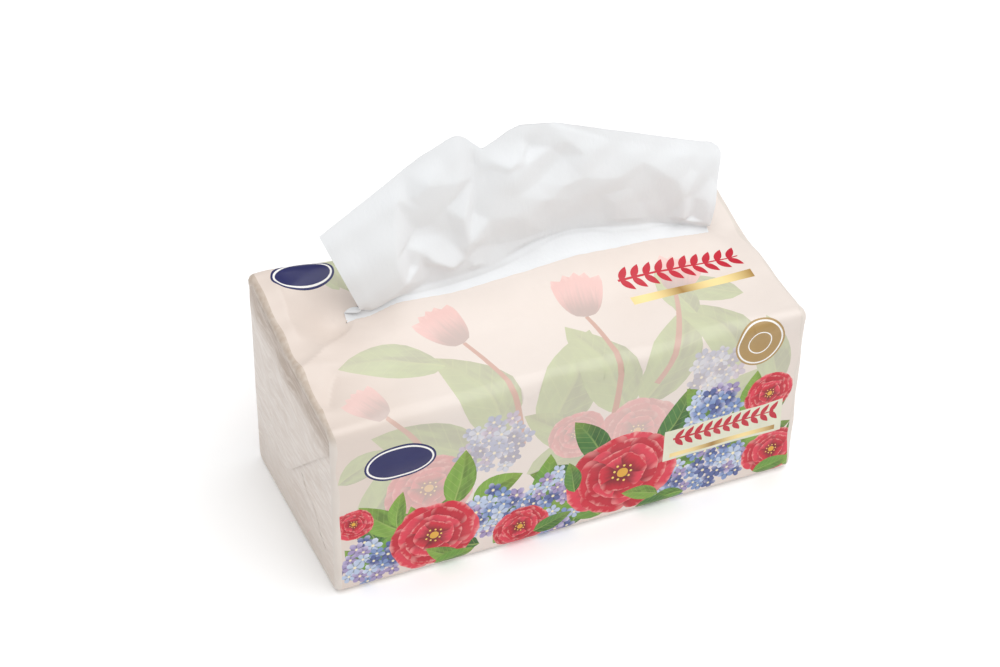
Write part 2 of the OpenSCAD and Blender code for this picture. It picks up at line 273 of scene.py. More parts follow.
@dataclass(frozen=True)
class PackForm:
    """The pack's outer shape: a straight rounded block that has settled into a soft one."""

    length: float
    depth: float
    height: float
    top_radius: float = 7.0
    bottom_radius: float = 5.0
    end_radius: float = 2.2
    crown: float = 1.0
    left_skew: float = 1.6
    left_rise: float = 14.0
    left_power: float = 1.6
    right_rise: float = 7.0
    right_start: float = 5.0
    right_power: float = 1.3
    slit_length: float = 160.0
    slit_power: int = 6
    slit_x: float = 7.5
    slit_y: float = 15.0
    front_gap: float = 1.2
    back_gap: float = 12.0
    lip_rise: float = 1.8
    lip_wave: float = 3.0
    lip_fade: float = 13.0
    lip_reach: float = 28.0
    tip_drop: float = 5.5
    tip_reach: float = 24.0

    @classmethod
    def from_frame(
        cls, wall: float = 0.4, clearance: float = 0.3, end_slack: float = 2.3, head_room: float = 3.0
    ) -> "PackForm":
        """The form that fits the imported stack.

        Args:
            wall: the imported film's thickness.
            clearance: the gap from the stack's sides to the film.
            end_slack: the gap from the stack's ends to the film.
            head_room: the gap from the stack's top to the film.

        Returns:
            The form, in millimetres.
        """
        low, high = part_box("tissue_stack")
        size = (high - low) / MM
        across = size.y + 2 * (wall + clearance)
        return cls(size.x + 2 * (wall + end_slack), across, high.z / MM + head_room + wall)

    @property
    def strips(self) -> list[Point]:
        """The runs and arcs of the section, from the middle of the base by the front.

        Returns:
            The length and the radius of each, with a radius of 0 for a straight run.
        """
        half = self.depth / 2 - self.bottom_radius
        low = (math.pi / 2 * self.bottom_radius, self.bottom_radius)
        high = (math.pi / 2 * self.top_radius, self.top_radius)
        side = (self.height - self.top_radius - self.bottom_radius, 0.0)
        top = (self.depth - 2 * self.top_radius, 0.0)
        return [(half, 0.0), low, side, high, top, high, side, low, (half, 0.0)]

    @property
    def stops(self) -> list[float]:
        """Where each strip starts, and the girth at the end."""
        return [float(x) for x in np.cumsum([0.0] + [length for length, _ in self.strips])]

    @property
    def girth(self) -> float:
        """The length once round the section."""
        return self.stops[-1]

    @property
    def reach(self) -> float:
        """How far the film runs from its middle to the end of its rounded end edge."""
        return self.length / 2 - self.end_radius + math.pi / 2 * self.end_radius

    def front_t(self, z: float) -> float:
        """The girth coordinate of a height on the front."""
        return self.stops[2] + z - self.bottom_radius

    def top_t(self, y: float) -> float:
        """The girth coordinate of a place on the top."""
        return self.stops[4] + y + self.depth / 2 - self.top_radius

    def back_t(self, z: float) -> float:
        """The girth coordinate of a height on the back."""
        return self.stops[6] + self.height - self.top_radius - z

    def section(self, t: Array) -> tuple[Array, Array, Array, Array]:
        """Follows the straight block's section.

        Args:
            t: the girth coordinate.

        Returns:
            y and z of the place, and y and z of the direction outward.
        """
        y, z, ny, nz = (np.zeros_like(t) for _ in range(4))
        place, turn = np.zeros(2), 1.5 * math.pi
        for begin, (length, radius) in zip(self.stops, self.strips):
            here, step = t >= begin - TINY, t - begin
            angle = np.full_like(t, turn) - (step / radius if radius else 0.0)
            normal = np.stack([np.cos(angle), np.sin(angle)])
            first = np.array([math.cos(turn), math.sin(turn)])
            if radius:
                at = (place - radius * first)[:, None] + radius * normal
                last = turn - length / radius
                place = place - radius * first + radius * np.array([math.cos(last), math.sin(last)])
                turn = last
            else:
                along = np.array([first[1], -first[0]])
                at = place[:, None] + along[:, None] * step
                place = place + along * length
            for target, value in zip((y, z, ny, nz), (*at, *normal)):
                target[here] = value[here]
        return y, z, ny, nz

    def slit_share(self, x: Array) -> Array:
        """How far open the slit is, from 0 at its ends to 1."""
        return np.clip(1 - ((x - self.slit_x) / (self.slit_length / 2)) ** self.slit_power, 0, None)

    def lift(self, x: Array, y: Array) -> Array:
        """How far the top stands above the straight block.

        Args:
            x: the places along the pack.
            y: the places across the pack.

        Returns:
            The height at each place.
        """
        lips = self.lip_rise + self.lip_wave * np.sin(2 * np.pi * (x - self.slit_x) / self.slit_length)
        lips = lips * mesa((x - self.slit_x) / (self.slit_length / 2 + self.lip_fade))
        lips = lips * hump((y - self.slit_y) / self.lip_reach)
        share = ease(x / self.length + 0.5)
        left = self.left_rise * np.clip(y / self.depth + 0.5, 0, 1) ** self.left_power
        back = np.clip((y - self.right_start) / (self.depth / 2 - self.right_start), 0, 1)
        right = self.right_rise * back**self.right_power
        tip = self.slit_x - self.slit_length / 2
        drop = self.tip_drop * hump(np.hypot(x - tip, y - self.slit_y) / self.tip_reach)
        return lips + left * (1 - share) + right * share - drop

    def settle(self, p: Array) -> Array:
        """Moves points of the straight block to the soft pack.

        Args:
            p: the points, one to a row.

        Returns:
            The moved points.
        """
        x, y, z = p.T
        belly = self.crown * np.sin(np.pi * np.clip(z / self.height, 0, 1))
        out_x = belly * (1 - np.clip(np.abs(y) * 2 / self.depth, 0, 1) ** 2)
        out_y = belly * (1 - np.clip(np.abs(x) * 2 / self.length, 0, 1) ** 2)
        up = self.lift(x, y) * ease(2 * z / self.height - 1)
        skew = self.left_skew * np.clip(-2 * x / self.length, 0, 1) * 2 * y / self.depth
        wide = x * (1 + 2 * out_x / self.length) - skew
        return np.stack([wide, y * (1 + 2 * out_y / self.depth), z + up], axis=1)

    def end_rim(self, y: Array, z: Array) -> Array:
        """How far places of a flat end lie inside its rounded edge."""
        return np.minimum(self.depth / 2 - np.abs(y), np.minimum(z, self.height - z)) - self.end_radius


def unit(v: Array) -> Array:
    """Vectors, one to a row, at a length of 1."""
    return v / np.maximum(np.linalg.norm(v, axis=1, keepdims=True), TINY)


@dataclass
class Skin:
    """A triangle mesh with its normals, and what its shaders read at each face corner."""

    points: Array
    normals: Array
    faces: Array
    inks: Array
    corners: dict[str, Array] = field(default_factory=dict)

    LINING_LOW = (0.82, 0.005)
    LINING_SIZE = (0.17, 0.11)
    KINDS = {3: ("FLOAT_VECTOR", "vector"), 4: ("FLOAT_COLOR", "color")}

    @classmethod
    def joined(cls, skins: Sequence["Skin"]) -> "Skin":
        """Joins several skins.

        Args:
            skins: the skins.

        Returns:
            One skin, with the corner values that they all have.
        """
        starts = np.cumsum([0] + [len(s.points) for s in skins[:-1]])
        names = set.intersection(*(set(s.corners) for s in skins))
        return cls(
            np.concatenate([s.points for s in skins]),
            np.concatenate([s.normals for s in skins]),
            np.concatenate([s.faces + start for s, start in zip(skins, starts)]),
            np.concatenate([s.inks for s in skins]),
            {name: np.concatenate([s.corners[name] for s in skins]) for name in names},
        )

    def thick(self, wall: float, lining: int) -> "Skin":
        """Gives the skin a thickness and closes its edges.

        Args:
            wall: how far the inner side lies behind the outer one.
            lining: the ink of the inner side and of the edges.

        Returns:
            The closed skin.
        """
        count = len(self.points)
        starts = self.faces.T.ravel()
        ends = self.faces[:, [1, 2, 0]].T.ravel()
        owner = np.tile(np.arange(len(self.faces)), 3)
        place = np.repeat(np.arange(3), len(self.faces))
        keys = np.minimum(starts, ends) * count + np.maximum(starts, ends)
        _, back, uses = np.unique(keys, return_inverse=True, return_counts=True)
        open_edge = uses[back] == 1
        a, b = starts[open_edge], ends[open_edge]
        owner, place = owner[open_edge], place[open_edge]
        rim = np.concatenate(
            [np.stack([b, a, a + count], 1), np.stack([b, a + count, b + count], 1)]
        )
        corners = {}
        for name, value in self.corners.items():
            within = value
            if name == "OFBake":
                within = np.array(self.LINING_LOW) + value * self.LINING_SIZE
            va, vb = within[owner, place], within[owner, (place + 1) % 3]
            edges = [np.stack([vb, va, va], 1), np.stack([vb, va, vb], 1)]
            corners[name] = np.concatenate([value, within[:, ::-1], *edges])
        rest = np.full(len(self.faces) + len(rim), lining)
        return Skin(
            np.concatenate([self.points, self.points - wall * self.normals]),
            np.concatenate([self.normals, -self.normals]),
            np.concatenate([self.faces, self.faces[:, ::-1] + count, rim]),
            np.concatenate([self.inks, rest]),
            corners,
        )

    def to_object(self, name: str, materials: Sequence[bpy.types.Material]) -> bpy.types.Object:
        """Makes the Blender object.

        Args:
            name: the piece's name.
            materials: its materials, in the order of the inks.

        Returns:
            The object, linked to the scene.
        """
        mesh = bpy.data.meshes.new(name)
        mesh.from_pydata((self.points * MM).tolist(), [], self.faces.tolist())
        for material in materials:
            mesh.materials.append(material)
        mesh.polygons.foreach_set("material_index", self.inks.astype(np.int32))
        mesh.polygons.foreach_set("use_smooth", np.ones(len(self.faces), bool))
        for key, value in self.corners.items():
            if value.shape[2] == 2:
                layer = mesh.uv_layers.new(name=key)
                layer.uv.foreach_set("vector", value.astype(np.float32).ravel())
                continue
            kind, slot = self.KINDS[value.shape[2]]
            layer = mesh.attributes.new(key, kind, "CORNER")
            layer.data.foreach_set(slot, value.astype(np.float32).ravel())
        mesh.normals_split_custom_set_from_vertices(unit(self.normals).tolist())
        mesh.update()
        obj = bpy.data.objects.new(name, mesh)
        bpy.context.scene.collection.objects.link(obj)
        return obj


class Wire:
    """A value in a node tree; arithmetic on it adds Math nodes."""

    def __init__(self, graph: "Graph", socket: bpy.types.NodeSocket) -> None:
        """Wraps an output socket of a graph's node."""
        self.graph = graph
        self.socket = socket

    def __add__(self, other: "Wire | float") -> "Wire":
        """Adds."""
        return self.graph.math("ADD", self, other)

    def __radd__(self, other: float) -> "Wire":
        """Adds to a number."""
        return self.graph.math("ADD", other, self)

    def __sub__(self, other: "Wire | float") -> "Wire":
        """Subtracts."""
        return self.graph.math("SUBTRACT", self, other)

    def __rsub__(self, other: float) -> "Wire":
        """Subtracts from a number."""
        return self.graph.math("SUBTRACT", other, self)

    def __mul__(self, other: "Wire | float") -> "Wire":
        """Multiplies."""
        return self.graph.math("MULTIPLY", self, other)

    def __rmul__(self, other: float) -> "Wire":
        """Multiplies a number."""
        return self.graph.math("MULTIPLY", other, self)

    def __truediv__(self, other: "Wire | float") -> "Wire":
        """Divides."""
        return self.graph.math("DIVIDE", self, other)

    def __rtruediv__(self, other: float) -> "Wire":
        """Divides a number."""
        return self.graph.math("DIVIDE", other, self)

    def __mod__(self, other: "Wire | float") -> "Wire":
        """Takes what is left of a division, never negative."""
        return self.graph.math("FLOORED_MODULO", self, other)

    def __rmod__(self, other: float) -> "Wire":
        """Takes what is left of a number after division."""
        return self.graph.math("FLOORED_MODULO", other, self)

    def __neg__(self) -> "Wire":
        """Changes the sign."""
        return self.graph.math("MULTIPLY", self, -1.0)

    def __abs__(self) -> "Wire":
        """Drops the sign."""
        return self.graph.math("ABSOLUTE", self)


Value = Wire | float | Sequence[float]


class Graph:
    """A node tree that is built by name."""

    def __init__(self, tree: bpy.types.NodeTree) -> None:
        """Starts from an emptied tree."""
        self.tree = tree
        tree.nodes.clear()

    @classmethod
    def material(cls, name: str) -> tuple[bpy.types.Material, "Graph"]:
        """Starts a material.

        Args:
            name: its name.

        Returns:
            The material and its graph.
        """
        material = bpy.data.materials.new(name)
        material.use_nodes = True
        return material, cls(material.node_tree)

    def node(
        self, kind: str, settings: dict[str, object] | None = None, inputs: dict | None = None
    ) -> bpy.types.Node:
        """Adds a node.

        Args:
            kind: its type.
            settings: its properties, which are set first.
            inputs: a value or a wire for each socket, by name or by number.

        Returns:
            The node.
        """
        node = self.tree.nodes.new(kind)
        for key, value in (settings or {}).items():
            setattr(node, key, value)
        for key, value in (inputs or {}).items():
            if isinstance(value, Wire):
                self.tree.links.new(value.socket, node.inputs[key])
            else:
                node.inputs[key].default_value = value
        return node

    def wire(
        self, kind: str, settings: dict | None = None, inputs: dict | None = None, out: int | str = 0
    ) -> Wire:
        """Adds a node and gives one of its outputs."""
        return Wire(self, self.node(kind, settings, inputs).outputs[out])

    def math(self, operation: str, *values: Wire | float) -> Wire:
        """Adds a Math node."""
        return self.wire("ShaderNodeMath", {"operation": operation}, dict(enumerate(values)))

    def attribute(self, name: str, out: str) -> Wire:
        """Reads an attribute of the mesh."""
        return self.wire("ShaderNodeAttribute", {"attribute_name": name}, out=out)

    def place(self) -> Wire:
        """The place in the object's own frame."""
        return self.wire("ShaderNodeTexCoord", out="Object")

    def split(self, vector: Wire) -> tuple[Wire, Wire, Wire]:
        """The three parts of a vector."""
        node = self.node("ShaderNodeSeparateXYZ", None, {0: vector})
        return tuple(Wire(self, socket) for socket in node.outputs)

    def join(self, x: Wire | float, y: Wire | float, z: Wire | float) -> Wire:
        """A vector from three parts."""
        return self.wire("ShaderNodeCombineXYZ", None, {0: x, 1: y, 2: z})

    def step(self, value: Wire, low: float, high: float) -> Wire:
        """Goes smoothly from 0 at low to 1 at high."""
        settings = {"interpolation_type": "SMOOTHSTEP"}
        return self.wire("ShaderNodeMapRange", settings, {0: value, 1: low, 2: high})

    def blend(self, share: Wire | float, first: Value, second: Value) -> Wire:
        """Mixes two colours.

        Args:
            share: the share of the second one.
            first: the colour at a share of 0.
            second: the colour at a share of 1.

        Returns:
            The mixed colour.
        """
        first, second = ((*c, 1.0) if isinstance(c, tuple) else c for c in (first, second))
        settings = {"data_type": "RGBA"}
        return self.wire("ShaderNodeMix", settings, {0: share, 6: first, 7: second}, out=2)

    def scaled(self, colour: Wire, amount: Wire | float) -> Wire:
        """A colour made lighter or darker."""
        return self.wire("ShaderNodeVectorMath", {"operation": "SCALE"}, {0: colour, 3: amount})

    def noise(self, at: Wire, scale: float, detail: float = 2.0, rough: float = 0.5) -> Wire:
        """Soft noise from 0 to 1."""
        return self.wire("ShaderNodeTexNoise", None, {0: at, 2: scale, 3: detail, 4: rough})

    def bump(self, height: Wire, strength: float, distance: float) -> Wire:
        """Normals from a height."""
        inputs = {"Height": height, "Strength": strength, "Distance": distance}
        return self.wire("ShaderNodeBump", None, inputs)

    def surface(self, **inputs: Value) -> None:
        """Ends the tree in a Principled BSDF.

        Args:
            inputs: its sockets by name, with underscores for spaces.
        """
        named = {key.replace("_", " "): value for key, value in inputs.items()}
        named["Specular IOR Level"] = named.pop("Specular", 0.5)
        shader = self.wire("ShaderNodeBsdfPrincipled", None, named)
        self.node("ShaderNodeOutputMaterial", None, {0: shader})


class Ink(IntEnum):
    """What covers a face of the film. Its number is its material's place on the piece."""

    CLEAR = 0
    GROUND = 1
    LEAF = 2
    PETAL = 3
    FLORET = 4
    FLAT = 5
    GOLD = 6
    END = 7


@dataclass(frozen=True)
class FilmFinish:
    """Glossy plastic film, printed from behind."""

    cream: Colour = srgb(233, 222, 214)
    blush: Colour = srgb(225, 211, 201)
    clear: tuple[Colour, Colour] = (srgb(218, 206, 196), srgb(233, 225, 217))
    # brown of the crimped double film along the top on the left, darkened with painted shade
    crimp_and_shade: Colour = srgb(199, 182, 166)
    streaks: tuple[Colour, Colour] = (srgb(221, 208, 198), srgb(238, 229, 221))
    fold_shade: Colour = srgb(216, 201, 188)
    foot_shade: Colour = srgb(216, 202, 190)
    # brown band on the ends' upper part: crimped double film, darkened with painted shade
    end_band_and_shade: Colour = srgb(180, 160, 143)
    leaf_tip: Colour = srgb(150, 170, 70)
    vein: Colour = srgb(176, 196, 110)
    petal_rim: Colour = srgb(255, 196, 188)
    floret_light: Colour = srgb(250, 246, 255)
    floret_eye: Colour = srgb(250, 236, 190)
    gold: tuple[Colour, Colour] = (srgb(168, 128, 62), srgb(250, 226, 160))
    warm_x: Point = (-45.0, -85.0)
    # where the crimp's brown and its painted shade lie: towards the left, and high up
    crimp_and_shade_x: Point = (0.0, -50.0)
    crimp_and_shade_z: Point = (78.0, 88.0)
    foot_z: Point = (34.0, 4.0)
    # heights over which the ends' brown band with its painted shade sets in
    band_and_shade_z: Point = (71.0, 82.0)
    gloss: float = 0.36
    sheen: float = 0.45
    pebble: float = 190.0
    pebble_bump: Point = (0.10, 0.001)

    def material(self, ink: Ink) -> bpy.types.Material:
        """Makes the material for one ink.

        Args:
            ink: the ink.

        Returns:
            The material.
        """
        material, graph = Graph.material(f"film_{ink.name.lower()}")
        colour = {
            Ink.CLEAR: self._clear,
            Ink.GROUND: self._ground,
            Ink.LEAF: self._leaf,
            Ink.PETAL: self._petal,
            Ink.FLORET: self._floret,
            Ink.FLAT: self._flat,
            Ink.GOLD: self._gold,
            Ink.END: self._end,
        }[ink](graph)
        height = graph.noise(graph.place(), self.pebble, 3.0)
        normal = graph.bump(height, *self.pebble_bump)
        graph.surface(Base_Color=colour, Roughness=self.gloss, Specular=self.sheen, Normal=normal)
        return material

    @staticmethod
    def _motif(graph: Graph) -> tuple[Wire, Wire, Wire, Wire, Wire]:
        """A motif's own axes, its own number, its tint and its fading."""
        axes = graph.split(graph.attribute("motif", "Vector"))
        return *axes, graph.attribute("tint", "Color"), graph.attribute("tint", "Alpha")

    def _ground(self, graph: Graph) -> Wire:
        """Cream that warms a little from place to place, and most on the left.

        Args:
            graph: the material's graph.

        Returns:
            The colour.
        """
        place = graph.place()
        warm = graph.step(graph.noise(place, 14.0), 0.35, 0.7) * 0.5
        left = graph.step(graph.split(place)[0], *np.multiply(self.warm_x, MM))
        return graph.blend(graph.math("MAXIMUM", warm, left), self.cream, self.blush)

    def _clear(self, graph: Graph) -> Wire:
        """Unprinted film over white paper, with a brown band along the top on the left: crimped double
        film, darkened there with painted shade.

        Args:
            graph: the material's graph.

        Returns:
            The colour.
        """
        place = graph.place()
        light = graph.blend(graph.noise(place, 60.0), *self.clear)
        x, _, z = graph.split(place)
        mottle = 0.6 + 0.4 * graph.step(graph.noise(place, 420.0, 3.0), 0.3, 0.7)
        # painted shade: the brown band darkens the film high up on the left
        high = graph.step(z, *np.multiply(self.crimp_and_shade_z, MM))
        crimp_and_shade = high * graph.step(x, *np.multiply(self.crimp_and_shade_x, MM)) * mottle
        return graph.blend(crimp_and_shade, light, self.crimp_and_shade)

    def _end(self, graph: Graph) -> Wire:
        """Unprinted film with fine streaks, painted shade in its folds and towards its foot, and a brown
        band along its top: crimped double film with painted shade.

        Args:
            graph: the material's graph.

        Returns:
            The colour.
        """
        y, z, _ = graph.split(graph.attribute("motif", "Vector"))
        bent = z + 8.0 * graph.noise(graph.join(y * 0.05, z * 0.04, 0.0), 1.0)
        bent = bent + 2.4 * graph.noise(graph.join(y * 0.2, z * 0.16, 3.0), 1.0)
        streaks = graph.noise(graph.join(y * 0.08, bent * 0.6, 0.0), 1.0, 4.0, 0.6)
        folds = graph.noise(graph.join((y + z) * 0.03, (y - z) * 0.14, 7.0), 1.0, 3.0, 0.6)
        light = graph.blend(graph.step(streaks, 0.3, 0.74), *self.streaks)
        # painted shade in soft folds, and towards the foot of the end
        light = graph.blend(graph.step(folds, 0.48, 0.72) * 0.4, light, self.fold_shade)
        light = graph.blend(graph.step(z, *self.foot_z) * 0.5, light, self.foot_shade)
        # painted shade: the brown band along the top of the end
        edge = z + 5.0 * graph.noise(graph.join(y * 0.35, z * 0.12, 5.0), 1.0, 3.0)
        band = graph.step(edge, *self.band_and_shade_z) * (0.65 + 0.35 * graph.step(streaks, 0.62, 0.4))
        return graph.blend(band, light, self.end_band_and_shade)

    def _inked(self, graph: Graph, colour: Wire, fade: Wire) -> Wire:
        """An ink as it looks printed thin, by its share of fading."""
        return graph.blend(fade, colour, self.cream)

    def _leaf(self, graph: Graph) -> Wire:
        """A painted leaf with a midrib, side veins and one half in shade.

        Args:
            graph: the material's graph.

        Returns:
            The colour.
        """
        u, v, bend, tint, fade = self._motif(graph)
        rib = v - bend * 4.0 * u * (1.0 - u)
        wash = graph.noise(graph.join(u * 2.0, v * 1.5, bend * 9.0), 1.6)
        colour = graph.blend(graph.step(rib, -0.1, 0.1), graph.scaled(tint, 0.62), tint)
        colour = graph.blend(graph.step(wash, 0.35, 0.7) * 0.6, colour, graph.scaled(tint, 1.35))
        colour = graph.blend(graph.step(u, 0.55, 1.0) * 0.45, colour, self.leaf_tip)
        vein = abs((u * 8.0 - abs(rib) * 1.7) % 1.0 - 0.5)
        lines = (1.0 - graph.step(vein, 0.02, 0.09)) * 0.28
        midrib = (1.0 - graph.step(abs(rib), 0.025, 0.075)) * (1.0 - u) * 0.7
        colour = graph.blend(graph.math("MAXIMUM", lines, midrib), colour, self.vein)
        return self._inked(graph, colour, fade)

    def _petal(self, graph: Graph) -> Wire:
        """A painted petal, dark at its root, with a pale rim and brush marks.

        Args:
            graph: the material's graph.

        Returns:
            The colour.
        """
        u, v, seed, tint, fade = self._motif(graph)
        brush = graph.noise(graph.join(u * 1.2, v * 4.0, seed * 40.0), 1.5, 2.0)
        rise = u + 0.35 * (brush - 0.5)
        colour = graph.blend(graph.step(rise, 0.1, 0.8), graph.scaled(tint, 0.3), tint)
        pale = graph.blend(0.6, tint, self.petal_rim)
        colour = graph.blend(graph.step(rise, 0.84, 1.02) * 0.9, colour, pale)
        sides = graph.step(abs(v), 0.72, 0.98) * graph.step(u, 0.3, 0.7) * 0.6
        colour = graph.blend(sides, colour, pale)
        fold = (1.0 - graph.step(abs(v), 0.0, 0.12)) * (1.0 - graph.step(u, 0.5, 0.85)) * 0.35
        colour = graph.blend(fold, colour, graph.scaled(tint, 0.36))
        return self._inked(graph, colour, fade)

    def _floret(self, graph: Graph) -> Wire:
        """A small flower of five petals with a pale eye.

        Args:
            graph: the material's graph.

        Returns:
            The colour.
        """
        u, v, seed, tint, fade = self._motif(graph)
        angle = graph.math("ARCTAN2", v, u)
        out = graph.math("SQRT", u * u + v * v)
        lobe = abs(graph.math("COSINE", angle * 2.5))
        colour = graph.blend(graph.step(lobe, 0.05, 0.7), graph.scaled(tint, 0.5), tint)
        light = graph.blend(0.45, tint, self.floret_light)
        sunny = graph.step(graph.math("COSINE", angle - 1.2 + seed), -0.2, 1.0)
        colour = graph.blend(graph.step(out, 0.35, 0.95) * sunny * 0.9, colour, light)
        colour = graph.blend(1.0 - graph.step(out, 0.10, 0.22), colour, self.floret_eye)
        return self._inked(graph, colour, fade)

    def _flat(self, graph: Graph) -> Wire:
        """An even ink.

        Args:
            graph: the material's graph.

        Returns:
            The colour.
        """
        tint, fade = graph.attribute("tint", "Color"), graph.attribute("tint", "Alpha")
        wash = graph.noise(graph.place(), 160.0)
        return self._inked(graph, graph.scaled(tint, 0.9 + wash * 0.2), fade)

    def _gold(self, graph: Graph) -> Wire:
        """Gold ink that goes from deep to pale and back.

        Args:
            graph: the material's graph.

        Returns:
            The colour.
        """
        u, _, _ = graph.split(graph.attribute("motif", "Vector"))
        shine = abs(graph.math("SINE", u * 2.6 + 0.5))
        return graph.blend(shine, *self.gold)


@dataclass(frozen=True)
class PaperFinish:
    """Soft white tissue with a faint crepe."""

    white: Colour = srgb(242, 244, 246)
    dull: float = 0.95
    sheen: float = 0.1
    grain: Spot = (700.0, 700.0, 260.0)
    crepe: Point = (0.16, 0.0006)

    def material(self) -> bpy.types.Material:
        """Makes the tissue's material.

        Returns:
            The material.
        """
        material, graph = Graph.material("tissue_paper")
        place = graph.join(*(axis * scale for axis, scale in zip(graph.split(graph.place()), self.grain)))
        normal = graph.bump(graph.noise(place, 1.0, 3.0, 0.6), *self.crepe)
        white = (*self.white, 1.0)
        graph.surface(Base_Color=white, Roughness=self.dull, Specular=self.sheen, Normal=normal)
        return material


@dataclass(frozen=True)
class Motif:
    """One printed shape on the flat film, with the axes its shader reads."""

    ink: Ink
    outline: Array
    origin: Point
    along: Point
    across: Point
    tint: Colour
    fade: float = 0.0
    seed: float = 0.0

    @property
    def to_local(self) -> Array:
        """The matrix from the flat film to the motif's own axes."""
        return np.linalg.inv(np.array([self.along, self.across]).T)


class FloralPrint:
    """A made-up flower print, laid out on the flat film in painter's order."""

    CRIMSON = (srgb(208, 38, 58), srgb(194, 28, 50), srgb(222, 60, 80))
    GREENS = (srgb(104, 150, 60), srgb(84, 132, 52), srgb(122, 160, 66), srgb(70, 116, 56))
    LILACS = (srgb(128, 150, 196), srgb(162, 148, 190), srgb(186, 200, 224), srgb(88, 102, 156))
    ROSE = srgb(236, 150, 146)
    MOSS = srgb(146, 174, 92)
    BARK = srgb(190, 120, 92)
    NAVY = srgb(34, 36, 92)
    WHITE = srgb(250, 248, 244)
    BRONZE = srgb(176, 144, 92)
    LABEL = srgb(226, 226, 204)
    YOLK = srgb(226, 170, 60)
    POLLEN = srgb(250, 214, 110)
    LILAC_SHARES = (4, 3, 3, 3)
    PALE = 0.55
    MARGIN = 2.2
    SEAM = 2.0
    BAND_ENDS = 8.0
    BAND_DROP = 4.0
    BAND_PITCH = 6.0
    BAND_LEAF = 0.46
    BAND_STEP = (50.0, 14.0)
    GROUND_STEPS = 130
    WAVER = Ripple(0.35, (24.0, 24.0), 3)
    WAVER_APART = 60.0
    STEM_STEPS = 12
    STEM_TAPER = (1.15, 0.5)
    GOLDEN_ANGLE = 2.39996
    PETAL_RINGS = ((1.0, 8, 0.3), (0.82, 7, 0.22), (0.63, 6, 0.14), (0.44, 5, 0.06))
    PETAL_SIZES = (0.92, 1.04)
    PETAL_WIDE = 2.35
    PETAL_STRAY = 0.25
    RING_TURN = 0.35
    EYE = 0.1
    STAMENS = 9
    STAMEN = 0.024
    STAMEN_OUT = (0.15, 0.03)
    FLORET_CROWD = 1.9
    HEAD_TILT = 0.92
    LEAF_BEND = 0.45
    TULIP_PETALS = ((-26, 0.5), (26, 0.5), (-11, 0.52), (12, 0.5), (0, 0.56))
    TULIP_STEM = 2.6
    TULIP_BOW = 5.0
    GARLAND_PITCH = 0.72
    GARLAND_WIDE = 0.42
    GARLAND_ANGLE = 52

    def __init__(self, form: PackForm, seed: int = 7) -> None:
        """Starts with the printed ground and lays out the whole print.

        Args:
            form: the pack's shape.
            seed: the start of everything random in the print.
        """
        self.form = form
        self.dice = random.Random(seed)
        self.motifs: list[Motif] = []
        self._ground()
        self._faded()
        self._vivid(form.front_t, 1.0, 0.0)
        self._vivid(form.back_t, -1.0, 30.0)
        self._ornaments()

    def _add(
        self, ink: Ink, outline: Array, axes: tuple[Point, Point, Point], tint: Colour, **more: float
    ) -> None:
        """Adds a motif with its origin and axes."""
        self.motifs.append(Motif(ink, outline, *axes, tint, **more))

    def _ground(self) -> None:
        """The printed area, which stops short of the ends with a wavering edge."""
        t = np.linspace(self.SEAM, self.form.girth - self.SEAM, self.GROUND_STEPS)
        right = self.form.length / 2 - self.MARGIN + self.WAVER.over(t, 0 * t)
        left = -self.form.length / 2 + self.MARGIN + self.WAVER.over(t, 0 * t + self.WAVER_APART)
        outline = np.concatenate([np.stack([right, t], 1), np.stack([left, t], 1)[::-1]])
        self._add(Ink.GROUND, outline, ((0, 0), (1, 0), (0, 1)), (1, 1, 1))

    def blade(
        self, ink: Ink, base: Point, tip: Point, width: float, tint: Colour,
        fade: float = 0.0, bend: float = 0.0, belly: float = 0.8, full: float = 0.85, steps: int = 9,
    ) -> None:
        """Adds a leaf or a petal.

        Args:
            ink: its ink.
            base: where it starts.
            tip: where it ends.
            width: its width at the widest.
            tint: its colour.
            fade: how thin it is printed.
            bend: how far it bows to the left, in half widths.
            belly: below 1 it is widest near its base, above 1 near its tip.
            full: below 1 it is rounder.
            steps: how many points each side has.
        """
        base, run = np.array(base), np.subtract(tip, base)
        length = float(np.hypot(*run))
        across = np.array([-run[1], run[0]]) / length * width / 2
        u = np.linspace(0, 1, steps + 1)
        side = np.sin(np.pi * u**belly) ** full
        side[[0, -1]] = 0.0
        middle = bend * 4 * u * (1 - u)
        right = base + u[:, None] * run + (middle - side)[:, None] * across
        left = base + u[:, None] * run + (middle + side)[:, None] * across
        outline = np.concatenate([right, left[-2:0:-1]])
        seed = bend if ink is Ink.LEAF else self.dice.random()
        self._add(ink, outline, (tuple(base), tuple(run), tuple(across)), tint, fade=fade, seed=seed)

    def disc(
        self, ink: Ink, centre: Point, radii: Point, tint: Colour, fade: float = 0.0,
        lobes: int = 0, depth: float = 0.0, turn: float = 0.0, steps: int = 40,
    ) -> None:
        """Adds a disc, or a lobed one.

        Args:
            ink: its ink.
            centre: its middle.
            radii: its half width and half height.
            tint: its colour.
            fade: how thin it is printed.
            lobes: how many lobes it has.
            depth: how deep the gaps between them are.
            turn: its turn in radians.
            steps: how many points it has.
        """
        a = np.linspace(0, 2 * np.pi, steps, endpoint=False)
        out = 1 - depth * (1 - np.abs(np.cos(lobes * a / 2)))
        c, s = math.cos(turn), math.sin(turn)
        along, across = np.array([c, s]) * radii[0], np.array([-s, c]) * radii[1]
        outline = np.array(centre) + np.outer(out * np.cos(a), along) + np.outer(out * np.sin(a), across)
        seed = self.dice.random() * 6
        self._add(ink, outline, (tuple(centre), tuple(along), tuple(across)), tint, fade=fade, seed=seed)

